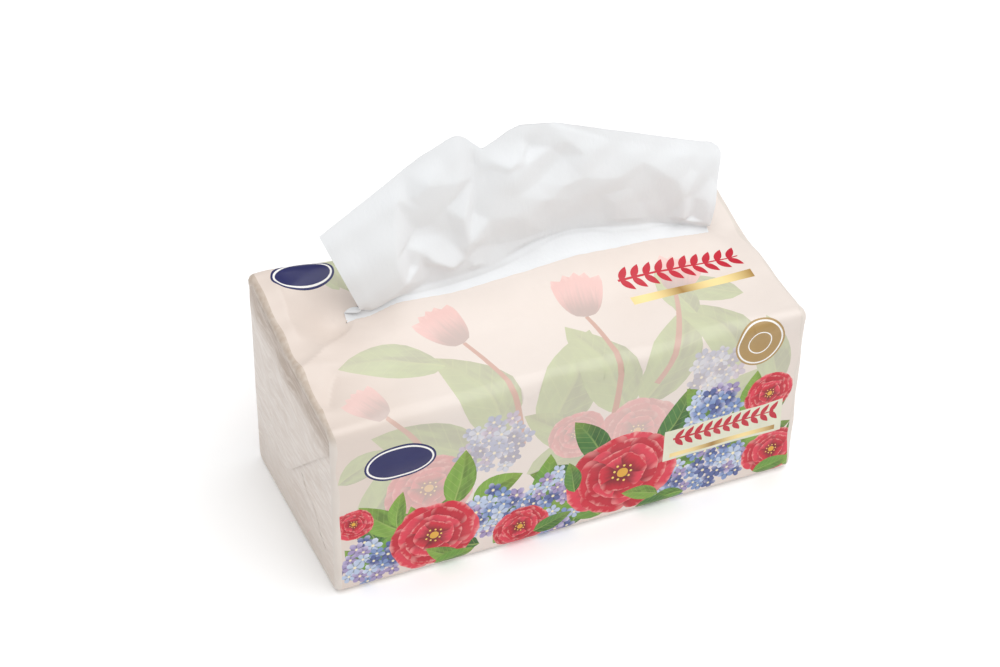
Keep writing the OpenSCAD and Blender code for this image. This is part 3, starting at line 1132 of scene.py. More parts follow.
    def stem(self, points: Sequence[Point], width: float, tint: Colour, fade: float = 0.0) -> None:
        """Adds a stem along a curve.

        Args:
            points: its start, its guide point and its end.
            width: its width.
            tint: its colour.
            fade: how thin it is printed.
        """
        a, b, c = (np.array(p) for p in points)
        q = np.linspace(0, 1, self.STEM_STEPS)[:, None]
        line = (1 - q) ** 2 * a + 2 * q * (1 - q) * b + q * q * c
        run = np.gradient(line, axis=0)
        normal = np.stack([-run[:, 1], run[:, 0]], 1) / np.hypot(*run.T)[:, None]
        half = width / 2 * (self.STEM_TAPER[0] - self.STEM_TAPER[1] * q)
        outline = np.concatenate([line - half * normal, (line + half * normal)[::-1]])
        self._add(Ink.FLAT, outline, (tuple(a), (1, 0), (0, 1)), tint, fade=fade)

    def bloom(self, centre: Array, radius: float, fade: float = 0.0, tilt: float = 0.9) -> None:
        """Adds a double flower with rings of broad petals.

        Args:
            centre: its middle.
            radius: its half width.
            fade: how thin it is printed.
            tilt: its height as a share of its width.
        """
        start = self.dice.uniform(0, 6)
        for share, count, root in self.PETAL_RINGS:
            for k in range(count):
                angle = start + 2 * math.pi * (k + self.PETAL_STRAY * self.dice.uniform(-1, 1)) / count
                ray = np.array([math.cos(angle), tilt * math.sin(angle)]) * radius
                size = share * self.dice.uniform(*self.PETAL_SIZES)
                tint = self.CRIMSON[(k + count) % 3]
                width = self.PETAL_WIDE * math.pi * share * radius / count
                self.blade(
                    Ink.PETAL, centre + root * ray, centre + size * ray, width, tint, fade,
                    bend=self.dice.uniform(-0.15, 0.15), belly=1.4, full=0.55, steps=10,
                )
            start += self.RING_TURN
        self.disc(Ink.FLAT, centre, (radius * self.EYE,) * 2, self.YOLK, fade, steps=12)
        for k in range(self.STAMENS):
            angle = 2 * math.pi * k / self.STAMENS
            out = radius * (self.STAMEN_OUT[0] + self.STAMEN_OUT[1] * (k % 2))
            spot = (centre[0] + out * math.cos(angle), centre[1] + out * math.sin(angle))
            self.disc(Ink.FLAT, spot, (radius * self.STAMEN,) * 2, self.POLLEN, fade, steps=7)

    def cluster(self, centre: Point, radius: float, fade: float = 0.0, size: float = 4.0) -> None:
        """Adds a round head of small florets.

        Args:
            centre: its middle.
            radius: its half width.
            fade: how thin it is printed.
            size: the half width of a floret.
        """
        count = int(self.FLORET_CROWD * (radius / size) ** 2)
        for k in reversed(range(count)):
            out = radius * math.sqrt((k + 0.5) / count)
            angle = self.GOLDEN_ANGLE * k + self.dice.uniform(-0.15, 0.15)
            rise = self.HEAD_TILT * out * math.sin(angle)
            spot = (centre[0] + out * math.cos(angle), centre[1] + rise)
            tint = self.dice.choices(self.LILACS, self.LILAC_SHARES)[0]
            half = size * self.dice.uniform(0.85, 1.1)
            turn = self.dice.uniform(0, 6)
            self.disc(Ink.FLORET, spot, (half, half), tint, fade, 5, 0.42, turn, 20)

    def spray(self, root: Point, angle: float, length: float, width: float, fade: float = 0.0) -> None:
        """Adds one lance leaf.

        Args:
            root: where it starts.
            angle: its direction in degrees.
            length: its length.
            width: its width at the widest.
            fade: how thin it is printed.
        """
        a = math.radians(angle)
        tip = (root[0] + length * math.cos(a), root[1] + length * math.sin(a))
        tint = self.MOSS if fade else self.dice.choice(self.GREENS)
        bend = self.dice.uniform(-self.LEAF_BEND, self.LEAF_BEND)
        self.blade(Ink.LEAF, root, tip, width, tint, fade, bend)

    def tulip(self, root: Point, head: Point, lean: float, size: float, fade: float) -> None:
        """Adds a pale tulip on its stem.

        Args:
            root: where the stem starts.
            head: the base of the flower.
            lean: the flower's angle in degrees.
            size: the flower's length.
            fade: how thin it is printed.
        """
        guide = ((root[0] + head[0]) / 2 + self.TULIP_BOW, (root[1] + head[1]) / 2)
        self.stem((root, guide, head), self.TULIP_STEM, self.BARK, fade - 0.12)
        for spread, width in self.TULIP_PETALS:
            a = math.radians(lean + spread)
            tip = (head[0] + size * math.cos(a), head[1] + size * math.sin(a))
            self.blade(Ink.PETAL, head, tip, size * width, self.ROSE, fade, bend=-spread / 90, full=0.65)

    def _faded(self) -> None:
        """The pale flowers and leaves of the top and of the upper front."""
        front, top = self.form.front_t, self.form.top_t
        for x, t, angle, length, width in (
            (-38, front(54), 152, 54, 23), (-30, front(62), 112, 52, 25), (-12, front(56), 60, 56, 26),
            (-46, top(-24), 165, 42, 18), (24, front(58), 108, 54, 24), (30, front(60), 58, 50, 23),
            (74, front(66), 118, 46, 21), (84, top(-24), 150, 38, 16), (-92, front(36), 62, 40, 18),
            (60, top(-30), 100, 30, 14), (-70, top(28), 120, 20, 9), (-62, top(36), 30, 24, 9),
            (8, front(46), 140, 38, 17), (-76, front(44), 20, 36, 16), (48, front(46), 25, 40, 18),
            (-20, front(40), 20, 40, 17), (92, front(52), 100, 36, 16), (-100, front(60), 20, 28, 12),
        ):
            self.spray((x, t), angle, length, width, self.PALE)
        for root, head, lean, size, fade in (
            ((-22, front(56)), (-34, top(-14)), 112, 22, 0.6),
            ((18, front(60)), (18, top(-16)), 80, 23, 0.58),
            ((36, front(70)), (58, top(-14)), 58, 20, 0.62),
            ((-62, front(60)), (-78, front(86)), 118, 18, 0.66),
        ):
            self.tulip(root, head, lean, size, fade)
        for x, z, radius, fade in ((-62, 46, 20, 0.58), (28, 48, 18, 0.64), (2, 54, 13, 0.62)):
            self.bloom(np.array((x, front(z))), radius, fade)
        for x, z, radius, fade in ((-34, 60, 15, 0.5), (62, 68, 12, 0.6)):
            self.cluster((x, front(z)), radius, fade)
        for x, angle in ((-80, 70), (-48, 110), (-12, 75), (26, 100), (60, 80), (88, 115)):
            self.spray((x, self.form.back_t(64)), -angle, 40, 18, self.PALE)

    def _vivid(self, height: Callable[[float], float], sign: float, shift: float) -> None:
        """The bright band along the foot of a side.

        Args:
            height: gives the girth coordinate of a height on that side.
            sign: 1 where the girth rises with the height and -1 where it falls.
            shift: how far the band is moved along the pack.
        """
        span = self.form.length - self.BAND_ENDS

        def at(x: float, z: float) -> Point:
            """A place in the band, moved along and down."""
            return ((x + shift + span / 2) % span - span / 2, height(z - self.BAND_DROP))

        for x in np.arange(-span / 2 + 4, span / 2 - 2, self.BAND_PITCH):
            low = self.dice.uniform(6, 20) + (self.BAND_STEP[1] if x > self.BAND_STEP[0] else 0)
            angle = 90 + self.dice.uniform(-70, 70)
            length = self.dice.uniform(22, 30)
            self.spray(at(x, low), sign * angle, length, self.BAND_LEAF * length)
        for x, z, angle, length, width in (
            (-84, 26, 120, 26, 12), (-72, 30, 135, 28, 13), (6, 26, 145, 30, 14), (14, 40, 118, 28, 13),
            (38, 42, 62, 28, 13), (46, 28, 20, 28, 12), (-16, 26, 75, 26, 12), (-30, 22, 140, 26, 12),
            (-52, 38, 78, 28, 14), (-44, 32, 30, 26, 13), (76, 38, 30, 26, 13), (84, 40, 95, 26, 13),
            (90, 26, 150, 24, 11), (58, 44, 110, 24, 12), (-98, 24, 60, 22, 10),
        ):
            self.spray(at(x, z), sign * angle, length, width)
        for x, z, radius in (
            (-34, 28, 14), (-88, 18, 13), (-8, 32, 11), (66, 20, 14),
            (46, 16, 11), (62, 52, 12), (-6, 12, 9),
        ):
            self.cluster(at(x, z), radius)
        for x, z, radius in (
            (-94, 41, 9), (-22, 15, 13), (88, 52, 12), (23, 30, 25), (-60, 24, 20), (92, 19, 14),
        ):
            self.bloom(np.array(at(x, z)), radius)
        for x, z, angle in (
            (-48, 8, 150), (-16, 10, 20), (52, 9, 190), (84, 9, 10), (2, 26, 100), (-76, 34, 80),
            (-60, 7, 10), (30, 7, -5), (-98, 8, 30), (40, 12, 160),
        ):
            self.spray(at(x, z), sign * angle, 18, 8)

    def _ornaments(self) -> None:
        """Plain ovals, leaf garlands, a label, gilt bars and a ringed disc."""
        front, top = self.form.front_t, self.form.top_t
        for spot, (wide, high) in (((-74, front(64)), (15, 8.5)), ((-82, top(37)), (13, 7.0))):
            for inset, tint in ((0.0, self.NAVY), (0.9, self.WHITE), (1.7, self.NAVY)):
                self.disc(Ink.FLAT, spot, (wide - inset, high - inset), tint, steps=48)
        self.garland((38, top(-2)), (92, top(-2)), 7.5)
        self.panel(Ink.GOLD, (66, top(-14)), (54, 4.6), self.WHITE)
        self.panel(Ink.FLAT, (68, front(34)), (54, 17), self.LABEL)
        self.garland((45, front(37)), (91, front(37)), 6.0)
        self.panel(Ink.GOLD, (68, front(28)), (48, 2.4), self.WHITE)
        for radius, tint, steps in (
            (11.0, self.BRONZE, 64), (10.2, self.WHITE, 56), (9.5, self.BRONZE, 56),
            (5.4, self.WHITE, 40), (4.9, self.BRONZE, 40),
        ):
            self.disc(Ink.FLAT, (82, front(76)), (radius, radius), tint, steps=steps)

    def garland(self, start: Point, end: Point, leaf: float) -> None:
        """Adds a red stem with leaves in pairs.

        Args:
            start: where it starts.
            end: where it ends, at the same height.
            leaf: the length of a leaf.
        """
        middle = ((start[0] + end[0]) / 2, start[1] + 0.6)
        self.stem((start, middle, end), 1.0, self.CRIMSON[1])
        for x in np.arange(start[0] + 1.0, end[0] - 1.0, self.GARLAND_PITCH * leaf):
            for angle in (self.GARLAND_ANGLE, -self.GARLAND_ANGLE):
                a = math.radians(angle)
                tip = (x + leaf * math.cos(a), start[1] + leaf * math.sin(a))
                self.blade(Ink.FLAT, (x, start[1]), tip, self.GARLAND_WIDE * leaf, self.CRIMSON[1])

    def panel(self, ink: Ink, centre: Point, size: Point, tint: Colour) -> None:
        """Adds a plain oblong.

        Args:
            ink: its ink.
            centre: its middle.
            size: its width and height.
            tint: its colour.
        """
        x, y = size[0] / 2, size[1] / 2
        outline = np.array(centre) + np.array([(-x, -y), (x, -y), (x, y), (-x, y)])
        self._add(ink, outline, (tuple(centre), (x, 0), (0, y)), tint)


@dataclass
class FilmWrap:
    """The printed film: one skin cut by the slit, closed at both ends by folded flaps."""

    form: PackForm
    finish: FilmFinish = field(default_factory=FilmFinish)
    wall: float = 0.12
    pitch: float = 2.9
    near: float = 0.7
    fine: float = 1.25
    fine_s: Point = (-99.0, -58.0)
    fine_y: Point = (-37.0, 37.0)
    arc_share: float = 0.22
    edge_angles: tuple[float, ...] = (22.5, 45.0, 67.5, 90.0)
    end_rings: int = 14
    end_rim: float = 8.0
    end_shift: float = 7.0
    slit_steps: int = 132
    tooth: float = 0.22
    tooth_pitch: float = 2.4
    curl: float = 0.3
    curl_reach: float = 2.2
    calm_foot: Point = (4.0, 16.0)
    corner_pull: float = 1.7
    corner_reach: float = 34.0
    flap_pitch: float = 2.4
    flap_inset: float = 0.6
    flap_lifts: Point = (0.05, 0.42)
    flap_rest: float = 0.03
    flap_wave: float = 0.25
    flap_grain: Point = (15.0, 15.0)
    flap_rim: float = 7.0
    bottom_sides: Point = (13.0, 12.0)
    bottom_tip: Point = (-1.0, 52.0)
    top_sides: Point = (74.0, 70.0)
    top_tip: Point = (3.0, 28.0)

    AT_SEAM = 1e-4
    AT_END = 1e-3
    BAKE_WIDE = 2.5
    BAKE_X = (0.82, 0.17)
    END_BAKES = {-1: (0.78, 0.2), 1: (0.57, 0.2)}
    FLAP_BAKES = {-1: ((0.46, 0.1), (0.35, 0.1)), 1: ((0.24, 0.1), (0.13, 0.1))}

    def __post_init__(self) -> None:
        """Places the film's dents and creases."""
        top, front = self.form.top_t, self.form.front_t
        self.features: list[Relief] = [
            Ripple(0.32, (46.0, 34.0), 11),
            Ripple(0.10, (17.0, 13.0), 12),
            Crease((-64, top(18)), (-104, top(-11)), 2.2, (14, 3.0), 0.2, 0.2, 2.5),
            Crease((-93, top(48)), (-95, top(2)), 1.5, (3, 7)),
            Dent((-80, top(15)), (9, 8), -2.6),
            Dent((-101, top(-9)), (4, 4), 1.1),
            Dent((-88, top(-20)), (9, 6), -0.9, 35),
            Crease((-85, top(-11)), (-98, top(-33)), -1.7, (3, 5), 0.25, 0.25, -1.5),
            Dent((-65, top(11)), (9, 5), -1.0),
            Dent((-62, front(84)), (26, 8), 0.8),
            Dent((-20, front(82)), (22, 7), -0.6),
            Dent((26, front(84)), (24, 7), 0.6),
            Dent((95, top(16)), (7, 9), -1.2),
            Crease((86, top(20)), (99, top(4)), -0.6, (4, 3)),
            Dent((-60, front(30)), (36, 22), 0.5),
            Dent((40, front(40)), (44, 26), 0.6),
        ]
        self.end_features: list[Relief] = [
            Ripple(0.16, (70.0, 5.0), 21, 24),
            Ripple(0.30, (34.0, 26.0), 22),
        ]

    def place(self, s: Array, t: Array) -> Array:
        """Where places of the flat film lie on the pack.

        Args:
            s: how far they are along the pack from its middle.
            t: the girth coordinate.

        Returns:
            The points, one to a row.
        """
        form = self.form
        corner = form.length / 2 - form.end_radius
        turn = np.clip((np.abs(s) - corner) / form.end_radius, 0, np.pi / 2)
        y, z, ny, nz = form.section(t % form.girth)
        inset = form.end_radius * (1 - np.cos(turn))
        x = np.sign(s) * (np.minimum(np.abs(s), corner) + form.end_radius * np.sin(turn))
        normal = np.stack([np.sign(s) * np.sin(turn), ny * np.cos(turn), nz * np.cos(turn)], 1)
        points = form.settle(np.stack([x, y - inset * ny, z - inset * nz], 1))
        rise = relief_of(self.features, s, t) * np.cos(turn)
        rise *= ease((z - self.calm_foot[0]) / self.calm_foot[1])
        near_end = ease((np.abs(s) - corner + self.corner_reach) / self.corner_reach)
        on_arc = np.where(nz > 0, np.square(2 * ny * nz), 0)
        rise += self.corner_pull * near_end * on_arc * np.cos(turn)
        past, share = t - form.top_t(form.slit_y), form.slit_share(s)
        from_lip = np.abs(past) - share * np.where(past < 0, form.front_gap, form.back_gap)
        rise += self.curl * share * np.exp(-np.clip(from_lip, 0, None) / self.curl_reach)
        return points + rise[:, None] * normal

    def normals(self, s: Array, t: Array, step: float = 0.08) -> Array:
        """The film's normals at places of the flat film.

        Args:
            s: how far they are along the pack from its middle.
            t: the girth coordinate.
            step: how far apart the film is compared.

        Returns:
            The normals, one to a row.
        """
        low, high = np.maximum(s - step, -self.form.reach), np.minimum(s + step, self.form.reach)
        run_s = self.place(high, t) - self.place(low, t)
        run_t = self.place(s, t + step) - self.place(s, t - step)
        return unit(np.cross(run_s, run_t))

    def end_place(self, side: int, y: Array, z: Array, lift: Array | float = 0.0) -> Array:
        """Where places of a flat end lie on the pack.

        Args:
            side: 1 for the right end and -1 for the left one.
            y: the places across the pack.
            z: the places upward.
            lift: how far they lie off the end.

        Returns:
            The points, one to a row.
        """
        form = self.form
        out = relief_of(self.end_features, y + self.end_shift * side, z)
        out = out * ease(form.end_rim(y, z) / self.end_rim)
        x = side * (form.length / 2 + out + lift)
        return form.settle(np.stack([x, y, z], 1))

    def end_normals(self, side: int, y: Array, z: Array, step: float = 0.1) -> Array:
        """The normals of a flat end.

        Args:
            side: 1 for the right end and -1 for the left one.
            y: the places across the pack.
            z: the places upward.
            step: how far apart the end is compared.

        Returns:
            The normals, one to a row.
        """
        run_y = self.end_place(side, y + step, z) - self.end_place(side, y - step, z)
        run_z = self.end_place(side, y, z + step) - self.end_place(side, y, z - step)
        return unit(side * np.cross(run_y, run_z))

    def _columns(self) -> Array:
        """Spaces the grid along the pack.

        Returns:
            Its places, closer together on the rounded edges.
        """
        corner = self.form.length / 2 - self.form.end_radius
        middle = np.linspace(-corner, corner, round(2 * corner / self.pitch) + 1)
        edge = corner + self.form.end_radius * np.radians(self.edge_angles)
        return np.concatenate([-edge[::-1], middle, edge])

    def _rows(self) -> Array:
        """Spaces the grid round the girth.

        Returns:
            Its places, closer together on the arcs.
        """
        rows = [np.zeros(1)]
        for begin, (length, radius) in zip(self.form.stops, self.form.strips):
            pitch = min(self.pitch, self.arc_share * radius) if radius else self.pitch
            steps = math.ceil(length / pitch)
            rows.append(begin + length * np.arange(1, steps + 1) / steps)
        return np.concatenate(rows)

    def _slit(self) -> Array:
        """Draws the slit, with the teeth it tore along.

        Returns:
            Its outline on the flat film.
        """
        form = self.form
        half = form.slit_length / 2
        x = form.slit_x + half * np.sin(np.linspace(-np.pi / 2, np.pi / 2, self.slit_steps))
        share = form.slit_share(x)
        share[[0, -1]] = 0.0
        zigzag = np.abs((x / self.tooth_pitch) % 1.0 - 0.5) * 2 - 0.5
        teeth = self.tooth * zigzag * ease(share * 4)
        t = form.top_t(form.slit_y)
        front = np.stack([x, t - form.front_gap * share - teeth], 1)
        back = np.stack([x, t + form.back_gap * share + teeth], 1)
        return np.concatenate([front, back[-2:0:-1]])

    def _flat(self, motifs: Sequence[Motif]) -> tuple[Array, Array, Array]:
        """Cuts the flat film along the slit and every motif.

        Args:
            motifs: the print, in painter's order.

        Returns:
            The points, the triangles, and each triangle's motif, with -1 for none.
        """
        columns, rows = self._columns(), self._rows()
        low, high = np.full_like(columns, rows[0]), np.full_like(columns, rows[-1])
        left, right = np.full_like(rows, columns[0]), np.full_like(rows, columns[-1])
        border = [np.stack([columns, low], 1)[:-1], np.stack([right, rows], 1)[:-1]]
        border += [np.stack([columns, high], 1)[:0:-1], np.stack([left, rows], 1)[:0:-1]]
        rings = [np.concatenate(border), self._slit(), *(m.outline for m in motifs)]
        (s0, s1), (t0, t1) = self.fine_s, (self.form.top_t(y) for y in self.fine_y)
        grid = [(s, t) for s in columns[1:-1] for t in rows[1:-1] if not (s0 < s < s1 and t0 < t < t1)]
        grid += [(s, t) for s in np.arange(s0, s1, self.fine) for t in np.arange(t0, t1, self.fine)]
        points, triangles, parents = cut(rings, grid, self.near)
        kept, owners = [], []
        for triangle, ids in zip(triangles, parents):
            if 0 in ids and 1 not in ids:
                kept.append(triangle)
                owners.append(max(ids) - 2 if 2 in ids else -1)
        return points, np.array(kept), np.array(owners)

    def _sheet(self, motifs: Sequence[Motif]) -> tuple[Skin, Array]:
        """The film round the pack, without its ends.

        Args:
            motifs: the print.

        Returns:
            The skin, and the flat place of each of its points.
        """
        flat, faces, owners = self._flat(motifs)
        girth = self.form.girth
        along = {round(s, 3): i for i, (s, t) in enumerate(flat) if t < self.AT_SEAM}
        weld = np.arange(len(flat))
        for i, (s, t) in enumerate(flat):
            if t > girth - self.AT_SEAM:
                weld[i] = along[round(s, 3)]
        spots = flat[faces]
        origins = np.array([m.origin for m in motifs])
        turns = np.array([m.to_local for m in motifs])
        tints = np.array([(*m.tint, m.fade) for m in motifs])
        seeds = np.array([m.seed for m in motifs])
        local = np.einsum("fij,fcj->fci", turns[owners], spots - origins[owners][:, None])
        seed = np.repeat(seeds[owners][:, None, None], 3, axis=1)
        inks = np.array([m.ink for m in motifs])[owners]
        corners = {
            "motif": np.concatenate([local, seed], axis=2),
            "tint": np.repeat(tints[owners][:, None], 3, axis=1),
            "OFBake": (spots + (self.form.reach, 0.0)) / (self.BAKE_WIDE * self.form.reach, girth),
        }
        faces = weld[faces]
        used, faces = np.unique(faces, return_inverse=True)
        flat = flat[used]
        s, t = flat.T
        inks = np.where(owners < 0, Ink.CLEAR, inks)
        skin = Skin(self.place(s, t), self.normals(s, t), faces.reshape(-1, 3), inks, corners)
        return skin, flat

    def _with_end(self, skin: Skin, flat: Array, side: int) -> Skin:
        """Closes one end with rings that run from the film's edge to the end's middle.

        Args:
            skin: the film so far.
            flat: the flat place of each point of the film round the pack.
            side: 1 for the right end and -1 for the left one.

        Returns:
            The film with that end.
        """
        form = self.form
        loop = np.nonzero(np.abs(flat[:, 0] - side * form.reach) < self.AT_END)[0]
        loop = loop[np.argsort(flat[loop, 1])]
        y, z, ny, nz = form.section(flat[loop, 1])
        y, z = y - form.end_radius * ny, z - form.end_radius * nz
        shares = np.append(1 - np.arange(1, self.end_rings) / self.end_rings, 0.0)[:, None]
        ring_y = (shares * y).ravel()
        ring_z = (form.height / 2 + shares * (z - form.height / 2)).ravel()
        ids = np.concatenate([loop, len(skin.points) + np.arange(len(ring_y))]).reshape(-1, len(loop))
        ids[-1] = ids[-1, 0]
        outer, inner = ids[:-1], ids[1:]
        o, i, o2, i2 = outer, inner, np.roll(outer, -1, 1), np.roll(inner, -1, 1)
        first, second = np.stack([o, i, o2], -1), np.stack([o2, i, i2], -1)[:-1]
        faces = np.concatenate([first.reshape(-1, 3), second.reshape(-1, 3)])
        faces = faces if side > 0 else faces[:, ::-1]
        keep = len(ring_y) - len(loop) + 1
        at = np.zeros((len(skin.points) + len(ring_y), 2))
        at[loop] = np.stack([y, z], 1)
        at[len(skin.points):] = np.stack([ring_y, ring_z], 1)
        own = self._end_corners(at[faces], self.END_BAKES[side])
        corners = {k: np.concatenate([v, own[k]]) for k, v in skin.corners.items()}
        return Skin(
            np.concatenate([skin.points, self.end_place(side, ring_y, ring_z)[:keep]]),
            np.concatenate([skin.normals, self.end_normals(side, ring_y, ring_z)[:keep]]),
            np.concatenate([skin.faces, faces]),
            np.concatenate([skin.inks, np.full(len(faces), Ink.END)]),
            corners,
        )

    def _end_corners(self, at: Array, bake: Point) -> dict[str, Array]:
        """What the shaders and the bake read on an end.

        Args:
            at: y and z of each face corner.
            bake: where its part of the baked picture starts, upward, and how high it is.

        Returns:
            The corner values by name.
        """
        low, size = np.array([self.BAKE_X, bake]).T
        share = (at + (self.form.depth / 2, 0.0)) / (self.form.depth, self.form.height)
        return {
            "motif": np.concatenate([at, np.zeros_like(at[:, :, :1])], axis=2),
            "tint": np.zeros((len(at), 3, 4)),
            "OFBake": low + share * size,
        }

    def _flap(self, side: int, outline: Sequence[Point], lift: float, bake: Point) -> Skin:
        """A folded flap that lies on an end.

        Args:
            side: 1 for the right end and -1 for the left one.
            outline: its corners as y and z.
            lift: how far it lies off the end.
            bake: where its part of the baked picture starts, upward, and how high it is.

        Returns:
            The flap, closed.
        """
        form, pitch = self.form, self.flap_pitch
        ring = []
        for a, b in zip(outline, [*outline[1:], outline[0]]):
            steps = math.ceil(math.dist(a, b) / pitch)
            ring += [tuple(np.add(a, np.subtract(b, a) * k / steps)) for k in range(steps)]
        low, high = np.min(ring, axis=0), np.max(ring, axis=0)
        across, upward = (np.arange(low[k], high[k], pitch) for k in (0, 1))
        grid = [(y, z) for y in across for z in upward]
        points, triangles, parents = cut([np.array(ring)], grid, pitch / 2)
        faces = np.array([triangle for triangle, ids in zip(triangles, parents) if ids])
        used, faces = np.unique(faces, return_inverse=True)
        y, z = points[used].T
        faces = faces.reshape(-1, 3) if side > 0 else faces.reshape(-1, 3)[:, ::-1]
        wave = 1 + self.flap_wave * Ripple(1.0, self.flap_grain, 31 + side).over(y, z)
        off = self.flap_rest + lift * ease(form.end_rim(y, z) / self.flap_rim) * wave
        corners = self._end_corners(np.stack([y, z], 1)[faces], bake)
        places, normals = self.end_place(side, y, z, off), self.end_normals(side, y, z)
        return Skin(places, normals, faces, np.full(len(faces), Ink.END), corners).thick(self.wall, Ink.END)

    def build(self) -> bpy.types.Object:
        """Builds the film with its print and its ends.

        Returns:
            The film's object.
        """
        motifs = FloralPrint(self.form).motifs
        skin, flat = self._sheet(motifs)
        for side in (-1, 1):
            skin = self._with_end(skin, flat, side)
        parts = [skin.thick(self.wall, Ink.CLEAR)]
        low = self.form.end_radius + self.flap_inset
        half, high = self.form.depth / 2 - low, self.form.height - low
        (bottom_front, bottom_back), (top_front, top_back) = self.bottom_sides, self.top_sides
        bottom = [(-half, low), (half, low), (half, bottom_back), self.bottom_tip, (-half, bottom_front)]
        top = [(half, high), (-half, high), (-half, top_front), self.top_tip, (half, top_back)]
        for side in (-1, 1):
            for outline, lift, bake in zip((bottom, top), self.flap_lifts, self.FLAP_BAKES[side]):
                parts.append(self._flap(side, outline, lift, bake))
        piece = Skin.joined(parts).to_object("printed_film", [self.finish.material(ink) for ink in Ink])
        LOG.info("printed_film: %d motifs, %d faces", len(motifs), len(piece.data.polygons))
        return piece


@dataclass
class TissueStack:
    """The folded sheets in the pack, laid one on another by Geometry Nodes."""

    sheets: int = 66
    air: float = 0.06
    corner: float = 6.5
    corner_steps: int = 5
    top_round: float = 8.0
    base_round: float = 5.0
    jitter: float = 0.12
    seed: int = 5

    def build(self, paper: bpy.types.Material) -> bpy.types.Object:
        """Builds the stack.

        Args:
            paper: the sheets' material.

        Returns:
            The stack's object.
        """
        low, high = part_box("tissue_stack")
        tree = bpy.data.node_groups.new("folded sheets", "GeometryNodeTree")
        values = {
            "Sheets": ("NodeSocketInt", self.sheets),
            "Length": ("NodeSocketFloat", high.x - low.x - 2 * self.jitter * MM),
            "Depth": ("NodeSocketFloat", high.y - low.y - 2 * self.jitter * MM),
            "Pitch": ("NodeSocketFloat", (high.z - low.z) / self.sheets),
            "Bottom": ("NodeSocketFloat", low.z),
            "Corner": ("NodeSocketFloat", self.corner * MM),
            "Jitter": ("NodeSocketFloat", self.jitter * MM),
            "Seed": ("NodeSocketInt", self.seed),
            "Paper": ("NodeSocketMaterial", paper),
        }
        sockets = {
            name: tree.interface.new_socket(name, in_out="INPUT", socket_type=kind)
            for name, (kind, _) in values.items()
        }
        tree.interface.new_socket("Geometry", in_out="OUTPUT", socket_type="NodeSocketGeometry")
        self._tree(Graph(tree))
        mesh = bpy.data.meshes.new("folded_sheets")
        piece = bpy.data.objects.new("folded_sheets", mesh)
        bpy.context.scene.collection.objects.link(piece)
        modifier = piece.modifiers.new("sheets", "NODES")
        modifier.node_group = tree
        for name, (_, value) in values.items():
            modifier[sockets[name].identifier] = value
        graph = bpy.context.evaluated_depsgraph_get()
        piece.data = bpy.data.meshes.new_from_object(piece.evaluated_get(graph), depsgraph=graph)
        piece.modifiers.clear()
        LOG.info("folded_sheets: %d faces", len(piece.data.polygons))
        return piece

    def _tree(self, graph: Graph) -> None:
        """Fills the node tree that lays out the sheets.

        Args:
            graph: the tree's graph.
        """
        given = graph.node("NodeGroupInput")
        value = {socket.name: Wire(graph, socket) for socket in given.outputs if socket.name}
        sides = {0: value["Length"], 1: value["Depth"]}
        outline = graph.wire("GeometryNodeCurvePrimitiveQuadrilateral", None, sides)
        fillet = {"Curve": outline, "Count": self.corner_steps, "Radius": value["Corner"]}
        outline = graph.wire("GeometryNodeFilletCurve", {"mode": "POLY"}, fillet)
        face = graph.wire("GeometryNodeFillCurve", {"mode": "NGONS"}, {"Curve": outline})
        tall = value["Pitch"] - self.air * MM
        raised = {"Mesh": face, "Offset Scale": tall, "Individual": False}
        walls = graph.wire("GeometryNodeExtrudeMesh", None, raised)
        under = graph.wire("GeometryNodeFlipFaces", None, {"Mesh": face})
        sheet = graph.node("GeometryNodeJoinGeometry")
        for part in (walls, under):
            graph.tree.links.new(part.socket, sheet.inputs[0])
        sheet = graph.wire("GeometryNodeMergeByDistance", None, {"Geometry": Wire(graph, sheet.outputs[0])})
        line = {
            "Count": value["Sheets"],
            "Start Location": graph.join(0.0, 0.0, value["Bottom"]),
            "Offset": graph.join(0.0, 0.0, value["Pitch"]),
        }
        points = graph.wire("GeometryNodeMeshLine", None, line)
        low = graph.join(-value["Jitter"], -value["Jitter"], 0.0)
        high = graph.join(value["Jitter"], value["Jitter"], 0.0)
        limits = {0: low, 1: high, "Seed": value["Seed"]}
        shift = graph.wire("FunctionNodeRandomValue", {"data_type": "FLOAT_VECTOR"}, limits)
        points = graph.wire("GeometryNodeSetPosition", None, {"Geometry": points, "Offset": shift})
        z = graph.split(graph.wire("GeometryNodeInputPosition"))[2]
        top = value["Bottom"] + value["Pitch"] * value["Sheets"]
        top_round, base_round = self.top_round * MM, self.base_round * MM
        near_top = self._pulled_in(graph, z + tall - (top - top_round), top_round)
        near_base = self._pulled_in(graph, value["Bottom"] + base_round - z, base_round)
        scale_y = 1.0 - 2.0 * (near_top + near_base) / value["Depth"]
        scale_x = 1.0 - 2.0 * near_base / value["Length"]
        settings = {"Points": points, "Instance": sheet, "Scale": graph.join(scale_x, scale_y, 1.0)}
        copies = graph.wire("GeometryNodeInstanceOnPoints", None, settings)
        solid = graph.wire("GeometryNodeRealizeInstances", None, {"Geometry": copies})
        dress = {"Geometry": solid, "Material": value["Paper"]}
        graph.node("NodeGroupOutput", None, {0: graph.wire("GeometryNodeSetMaterial", None, dress)})

    def _pulled_in(self, graph: Graph, over: Wire, radius: float) -> Wire:
        """How far a sheet's edge stands back that lies past where a rounded edge starts."""
        past = graph.math("MINIMUM", graph.math("MAXIMUM", over, 0.0), radius)
        return radius - graph.math("SQRT", radius * radius - past * past)


